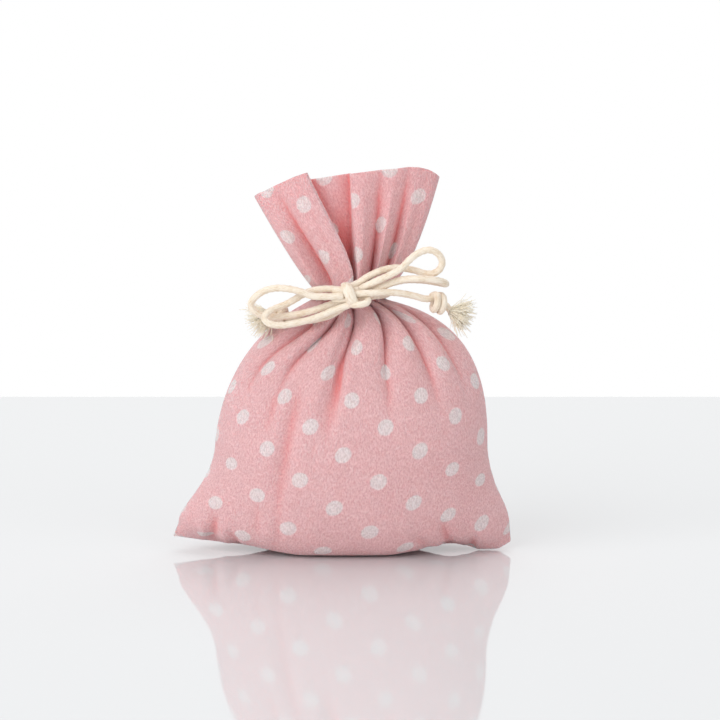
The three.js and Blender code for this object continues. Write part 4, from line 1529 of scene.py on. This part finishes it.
@dataclass
class ClothSettling:
    """A short cloth simulation that lets the gathers find their own folds."""

    scale: float = 10.0
    frames: int = 14
    reach: float = 3.5
    layer_gap: float = 0.5
    neck_grip: float = 1.0
    foot_grip: float = 0.9
    body_grip: float = 0.15
    ruffle_grip: float = 0.8
    slack_rows: int = 4

    def run(self, points: np.ndarray, heights: np.ndarray, shape: PouchShape) -> np.ndarray:
        """Lets the pouch settle.

        Args:
            points: The cloth's points by row and column, in millimetres.
            heights: Each row's distance up the cloth.
            shape: The form that the points came from.

        Returns:
            The settled points.
        """
        rows, columns = points.shape[:2]
        pitch = 2 * shape.cloth_width / columns
        bm = bmesh.new()
        for name in ("row", "column"):
            bm.verts.layers.int.new(name)
        row_of, column_of = bm.verts.layers.int["row"], bm.verts.layers.int["column"]
        grid = bmesh.ops.create_grid(bm, x_segments=columns, y_segments=rows - 1, size=0.5)["verts"]
        for vert in grid:
            row, column = round((vert.co.y + 0.5) * (rows - 1)), round((vert.co.x + 0.5) * columns) % columns
            vert[row_of], vert[column_of] = row, column
            vert.co = points[row, column] * MM * self.scale
        bmesh.ops.remove_doubles(bm, verts=grid, dist=WELD * self.scale)
        mesh = bpy.data.meshes.new("settling")
        bm.to_mesh(mesh)
        bm.free()
        cloth = linked("settling", mesh)
        row_index, column_index = (
            np.array([mark.value for mark in mesh.attributes[name].data]) for name in ("row", "column")
        )
        self.rest(cloth, row_index, column_index, heights, pitch, columns)
        self.hold(cloth, row_index, shape)
        settled = self.simulate(cloth)
        result = points.copy()
        result[row_index, column_index] = settled / (MM * self.scale)
        shift = result - points
        length = np.linalg.norm(shift, axis=2, keepdims=True)
        LOG.info("cloth settled by %.2f mm on average, %.2f mm at most", length.mean(), length.max())
        return points + shift * np.minimum(1.0, self.reach / np.maximum(length, TINY))

    def rest(self, cloth: bpy.types.Object, row: np.ndarray, column: np.ndarray, heights: np.ndarray,
             pitch: float, columns: int) -> None:
        """Gives the cloth its flat cut as the shape that it springs back to.

        Args:
            cloth: The cloth.
            row: Each point's row.
            column: Each point's column.
            heights: Each row's distance up the cloth.
            pitch: The distance between columns.
            columns: How many columns there are.
        """
        cloth.shape_key_add(name="Basis")
        flat = cloth.shape_key_add(name="flat")
        half = columns // 2
        across = np.where(column <= half, column, columns - column) * pitch
        facing = np.where((column > 0) & (column < half), -1.0, 1.0) * (column % half != 0)
        behind = facing * self.layer_gap
        places = np.stack([across, behind, heights[row]], axis=1) * MM * self.scale
        flat.data.foreach_set("co", places.astype(np.float32).ravel())
        flat.value = 0.0

    def hold(self, cloth: bpy.types.Object, row: np.ndarray, shape: PouchShape) -> None:
        """Marks where the cord, the table and the filling hold the cloth.

        Args:
            cloth: The cloth.
            row: Each point's row.
            shape: The form that the points came from.
        """
        body_rows = shape.neck_row
        neck = (row >= body_rows) & (row <= body_rows + shape.neck_rows)
        grip = np.select([neck, row <= shape.base_rows, row < body_rows],
                         [self.neck_grip, self.foot_grip, self.body_grip], self.ruffle_grip)
        pinned = cloth.vertex_groups.new(name="held")
        for index, weight in enumerate(grip):
            pinned.add([index], float(weight), "REPLACE")
        stuffed = cloth.vertex_groups.new(name="stuffed")
        stuffed.add([int(i) for i in np.flatnonzero(row < body_rows - self.slack_rows)], 1.0, "REPLACE")

    def simulate(self, cloth: bpy.types.Object) -> np.ndarray:
        """Runs the frames and reads the last one.

        Args:
            cloth: The cloth, which is removed afterwards.

        Returns:
            Its settled points, at the simulation's scale.
        """
        scene = bpy.context.scene
        modifier = cloth.modifiers.new("cloth", "CLOTH")
        settings = modifier.settings
        settings.quality = 6
        settings.mass = 0.1
        settings.tension_stiffness = settings.compression_stiffness = 18.0
        settings.shear_stiffness = 6.0
        settings.bending_stiffness = 0.1
        settings.tension_damping = settings.compression_damping = settings.shear_damping = 8.0
        settings.air_damping = 2.0
        settings.vertex_group_mass = "held"
        settings.pin_stiffness = 1.0
        settings.use_pressure = True
        settings.uniform_pressure_force = 0.6
        settings.vertex_group_pressure = "stuffed"
        settings.rest_shape_key = cloth.data.shape_keys.key_blocks["flat"]
        settings.effector_weights.gravity = 0.1
        modifier.collision_settings.use_collision = False
        modifier.collision_settings.use_self_collision = False
        modifier.point_cache.frame_start = 1
        modifier.point_cache.frame_end = self.frames
        for step in range(1, self.frames + 1):
            scene.frame_set(step)
        graph = bpy.context.evaluated_depsgraph_get()
        evaluated = cloth.evaluated_get(graph).data
        settled = np.zeros(len(evaluated.vertices) * 3, np.float32)
        evaluated.vertices.foreach_get("co", settled)
        scene.frame_set(1)
        bpy.data.objects.remove(cloth)
        return settled.reshape(-1, 3).astype(float)


@dataclass
class Pouch:
    """The sewn cotton pouch: two panels, their stitching and the filling."""

    shape: PouchShape = field(default_factory=PouchShape)
    settling: ClothSettling = field(default_factory=ClothSettling)
    thickness: float = 0.4
    stitch_length: float = 2.2
    stitch_steps: int = 6
    stitch_pitch: int = 8
    stitch_ends: tuple[float, float] = (0.15, 0.4)
    thread_radius: float = 0.17
    thread_sides: int = 6
    thread_sink: float = 0.35
    filling_margin: float = 6.0
    filling_span: tuple[float, float] = (2.5, 66.0)
    filling_detail: int = 6
    lumps: Sequence[tuple[float, float]] = ((9.0, 0.08), (31.0, 0.05))
    # How the fold mask of the painted shade is measured and sharpened.
    fold_reach: Sequence[int] = (3, 6, 10)
    fold_gain: float = 3.3
    fold_curve: float = 1.3
    ruffle_shift: tuple[float, float] = (1.7, 3.8)

    def build(self) -> None:
        """Makes the panels, sews them together and fills them."""
        material = DottedCotton().material()
        points, heights = self.shape.surface()
        points = self.settling.run(points, heights, self.shape)
        half = self.shape.columns // 2
        for name, first in (("front_panel", 0), ("back_panel", half)):
            columns = [(first + c) % self.shape.columns for c in range(half + 1)]
            panel = self.panel(f"{name}_cloth", points[:, columns], heights, first, material)
            dress(panel, Body.POUCH, Slot.COTTON, name)
        thread = SewingThread().material()
        self.stitching("left_side_stitching", points[:, 0], (1.0, 0.0, 0.0), thread)
        self.stitching("right_side_stitching", points[:, half], (-1.0, 0.0, 0.0), thread)
        self.stitching("bottom_stitching", points[0, :half + 1], (0.0, 0.0, 1.0), thread)
        self.filling()

    def stitching(self, name: str, seam: np.ndarray, inside: Place, material: bpy.types.Material) -> None:
        """Sews a row of short stitches along a seam.

        Args:
            name: The solid that it stands for.
            seam: The seam's points.
            inside: The direction in which the cloth lies.
            material: The thread's finish.
        """
        along = np.gradient(seam, axis=0)
        inward = np.stack([along[:, 2], 0 * along[:, 1], -along[:, 0]], axis=1)
        inward /= np.linalg.norm(inward, axis=1)[:, None]
        inward *= np.sign((inward * inside).sum(1))[:, None]
        sewn = (seam + inward * self.thread_sink) * (1.0, 0.0, 1.0)
        line = spaced(sewn, self.stitch_length / self.stitch_steps)
        blunt, taper = self.stitch_ends
        bow = np.sin(np.linspace(blunt, math.pi - blunt, self.stitch_steps + 1))
        bm = bmesh.new()
        for start in range(0, len(line) - self.stitch_steps, self.stitch_pitch):
            stitch = line[start:start + self.stitch_steps + 1]
            sweep(bm, stitch, self.thread_radius * bow ** taper, self.thread_sides)
        dress(closed_object(f"{name}_thread", bm, material), Body.POUCH, Slot.THREAD, name)

    def filling(self) -> None:
        """Stuffs the body with a lumpy mass of dried flowers that stays clear of the folds."""
        shape, low = self.shape, self.filling_span[0]
        outlines = (shape.middle_profile(), shape.side_profile(shape.left), shape.side_profile(shape.right))
        outlines = [outline[shape.base_rows:] for outline in outlines]
        bm = bmesh.new()
        ball = bmesh.ops.create_icosphere(bm, subdivisions=self.filling_detail, radius=1.0)["verts"]
        for vert in ball:
            height = mix(*self.filling_span, (vert.co.z + 1) / 2)
            deep, west, east = (
                np.interp(height, outline[:, 1], outline[:, 0]) - self.filling_margin for outline in outlines
            )
            lump = 1.0
            for scale, depth in self.lumps:
                lump -= depth * abs(noise.noise(vert.co * scale))
            across = (east - west) / 2 + lump * vert.co.x * (east + west) / 2
            vert.co = Vector((across, vert.co.y * lump * deep, mix(low, height, lump))) * MM
        buds = new_object("lavender_buds", bm, DriedFlowers().material())
        dress(buds, Body.POUCH, Slot.FLOWERS, "lavender_filling")

    def fold_depth(self, points: np.ndarray) -> np.ndarray:
        """Finds how deep in a fold each point of a panel lies: the mask of the painted shade in the folds.

        Args:
            points: The panel's points by row and column.

        Returns:
            Zero on a ridge, up to one at the bottom of a tight valley.
        """
        normal = outward(points)
        column = np.arange(points.shape[1])
        depth = np.zeros(points.shape[:2])
        for reach in self.fold_reach:
            before = points[:, np.maximum(column - reach, 0)]
            after = points[:, np.minimum(column + reach, column[-1])]
            span = np.linalg.norm(after - points, axis=2) + np.linalg.norm(points - before, axis=2)
            sag = (((before + after) / 2 - points) * normal).sum(2)
            depth = np.maximum(depth, sag / np.maximum(span, TINY))
        smooth = np.vstack([depth[:1], (depth[:-2] + depth[1:-1] + depth[2:]) / 3, depth[-1:]])
        return np.clip(smooth * self.fold_gain, 0.0, 1.0) ** self.fold_curve

    def cloth_places(self, points: np.ndarray, heights: np.ndarray) -> np.ndarray:
        """Finds where on the flat cloth a panel's points lie: even on the body, by length in the ruffle.

        Args:
            points: The panel's points by row and column.
            heights: Each row's distance up the cloth.

        Returns:
            The distances from the panel's left seam and from its bottom seam.
        """
        width = self.shape.cloth_width
        even = np.linspace(0.0, width, points.shape[1])[None].repeat(len(points), 0)
        steps = np.linalg.norm(np.diff(points, axis=1), axis=2)
        run = np.concatenate([np.zeros((len(points), 1)), np.cumsum(steps, axis=1)], axis=1)
        middle = run[:, points.shape[1] // 2, None]
        ruffle = ease((np.arange(len(points)) - self.shape.neck_row) / self.shape.neck_rows)[:, None]
        across = mix(even, width / 2 + (run - middle) + self.ruffle_shift[0], ruffle)
        up = (heights[:, None] + self.ruffle_shift[1] * ruffle).repeat(points.shape[1], 1)
        return np.stack([across, up], axis=2)

    def panel(self, name: str, points: np.ndarray, heights: np.ndarray, first: int,
              material: bpy.types.Material) -> bpy.types.Object:
        """Makes one panel from its rows of points.

        Args:
            name: The piece's name.
            points: Its points by row and column, in millimetres.
            heights: Each row's distance up the cloth.
            first: The pouch column at its left edge.
            material: The cloth's finish.

        Returns:
            The panel.
        """
        rows, columns = points.shape[0] - 1, points.shape[1] - 1
        flat = self.cloth_places(points, heights)
        flat[:, :, 0] += first * 2 * self.shape.cloth_width / self.shape.columns
        bm = bmesh.new()
        bmesh.ops.create_grid(bm, x_segments=columns, y_segments=rows, size=0.5)
        cloth_map = bm.loops.layers.uv.new(CLOTH_MAP)
        fold = bm.verts.layers.float.new(FOLD_DEPTH)
        at = {v: (round((v.co.y + 0.5) * rows), round((v.co.x + 0.5) * columns)) for v in bm.verts}
        for face in bm.faces:
            for loop in face.loops:
                loop[cloth_map].uv = flat[at[loop.vert]] / MAP_UNIT
        # The fold mask, stored on the points, that lays the painted shade into the folds.
        depth = self.fold_depth(points)
        for vert in bm.verts:
            vert[fold] = depth[at[vert]]
            vert.co = points[at[vert]] * MM
        panel = new_object(name, bm, material)
        finer = panel.modifiers.new("finer", "SUBSURF")
        finer.levels = finer.render_levels = 1
        thick = panel.modifiers.new("thickness", "SOLIDIFY")
        thick.thickness = self.thickness * MM
        thick.offset = -1.0
        return panel


@dataclass(frozen=True)
class Lamp:
    """A square area light, in metres and watts."""

    name: str
    place: Place
    size: float
    power: float


@dataclass
class Studio:
    """The pale table, the soft light and the camera at the photograph's angle, in millimetres."""

    frame_pixels: float = 720.0
    pixel_size: float = 0.294
    sensor: float = 36.0
    distance: float = 900.0
    elevation: float = 8.0
    aim: Place = (5.3, 0.0, 56.8)
    nearest: float = 10.0
    table_reach: float = 3000.0
    table_edge: float = 300.0
    table: Colour = paint(0xDCDEE0)
    lamps: Sequence[Lamp] = (
        Lamp("key_light", (-1.05, -1.1, 0.8), 1.6, 20.0),
        Lamp("fill_light", (1.0, -1.0, 0.6), 1.2, 4.6),
        Lamp("top_light", (0.1, 0.5, 1.3), 1.2, 9.0),
    )
    lamp_aim: Place = (0.0, 0.0, 0.055)
    room_light: float = 0.45
    room_white: float = 1.0

    def build(self) -> None:
        """Makes the whole set."""
        self.floor()
        self.lights()
        self.world()
        self.camera()
        bpy.context.scene.view_settings.view_transform = "Standard"

    def camera(self) -> None:
        """Places the camera in front, a little above, and makes it the scene's."""
        lens = bpy.data.cameras.new("camera")
        lens.sensor_width = self.sensor
        lens.lens = self.sensor * self.distance / (self.frame_pixels * self.pixel_size)
        lens.clip_start = self.nearest * MM
        made = linked("camera", lens)
        lift = math.radians(self.elevation)
        away = Vector((0.0, -math.cos(lift), math.sin(lift))) * self.distance
        made.location = (Vector(self.aim) + away) * MM
        made.rotation_euler = (math.pi / 2 - lift, 0.0, 0.0)
        bpy.context.scene.camera = made

    def floor(self) -> None:
        """Lays a pale, glossy table that ends a little way behind the pouch."""
        graph = Graph("pale_table")
        graph.set(Base_Color=self.table, Roughness=0.05, Specular_IOR_Level=1.0, IOR=1.6)
        bm = bmesh.new()
        reach = self.table_reach * MM
        for vert in bmesh.ops.create_grid(bm, x_segments=1, y_segments=1, size=reach)["verts"]:
            vert.co.y = min(vert.co.y, self.table_edge * MM)
        new_object("floor", bm, graph.material)

    def lights(self) -> None:
        """Hangs a broad key at the left, a weaker fill at the right and a soft one above."""
        for lamp in self.lamps:
            light = bpy.data.lights.new(lamp.name, "AREA")
            light.size = lamp.size
            light.energy = lamp.power
            made = linked(lamp.name, light)
            made.location = lamp.place
            aim = Vector(self.lamp_aim) - Vector(lamp.place)
            made.rotation_euler = aim.to_track_quat("-Z", "Y").to_euler()

    def world(self) -> None:
        """Fills the room with even white light, which the camera and the table's gloss see as white."""
        world = bpy.data.worlds.new("room")
        bpy.context.scene.world = world
        world.use_nodes = True
        tree = world.node_tree
        ground = tree.nodes["Background"]
        ground.inputs["Color"].default_value = (1.0, 1.0, 1.0, 1.0)
        path = tree.nodes.new("ShaderNodeLightPath")
        seen = tree.nodes.new("ShaderNodeMath")
        seen.operation = "MAXIMUM"
        tree.links.new(path.outputs["Is Camera Ray"], seen.inputs[0])
        tree.links.new(path.outputs["Is Glossy Ray"], seen.inputs[1])
        strength = tree.nodes.new("ShaderNodeMapRange")
        strength.inputs["To Min"].default_value = self.room_light
        strength.inputs["To Max"].default_value = self.room_white
        tree.links.new(seen.outputs[0], strength.inputs["Value"])
        tree.links.new(strength.outputs[0], ground.inputs["Strength"])


def main() -> None:
    """Builds the sachet and its studio."""
    logging.basicConfig(level=logging.INFO, format="%(name)s: %(message)s")
    Pouch().build()
    Bow().build()
    Studio().build()


if __name__ == "__main__":
    main()
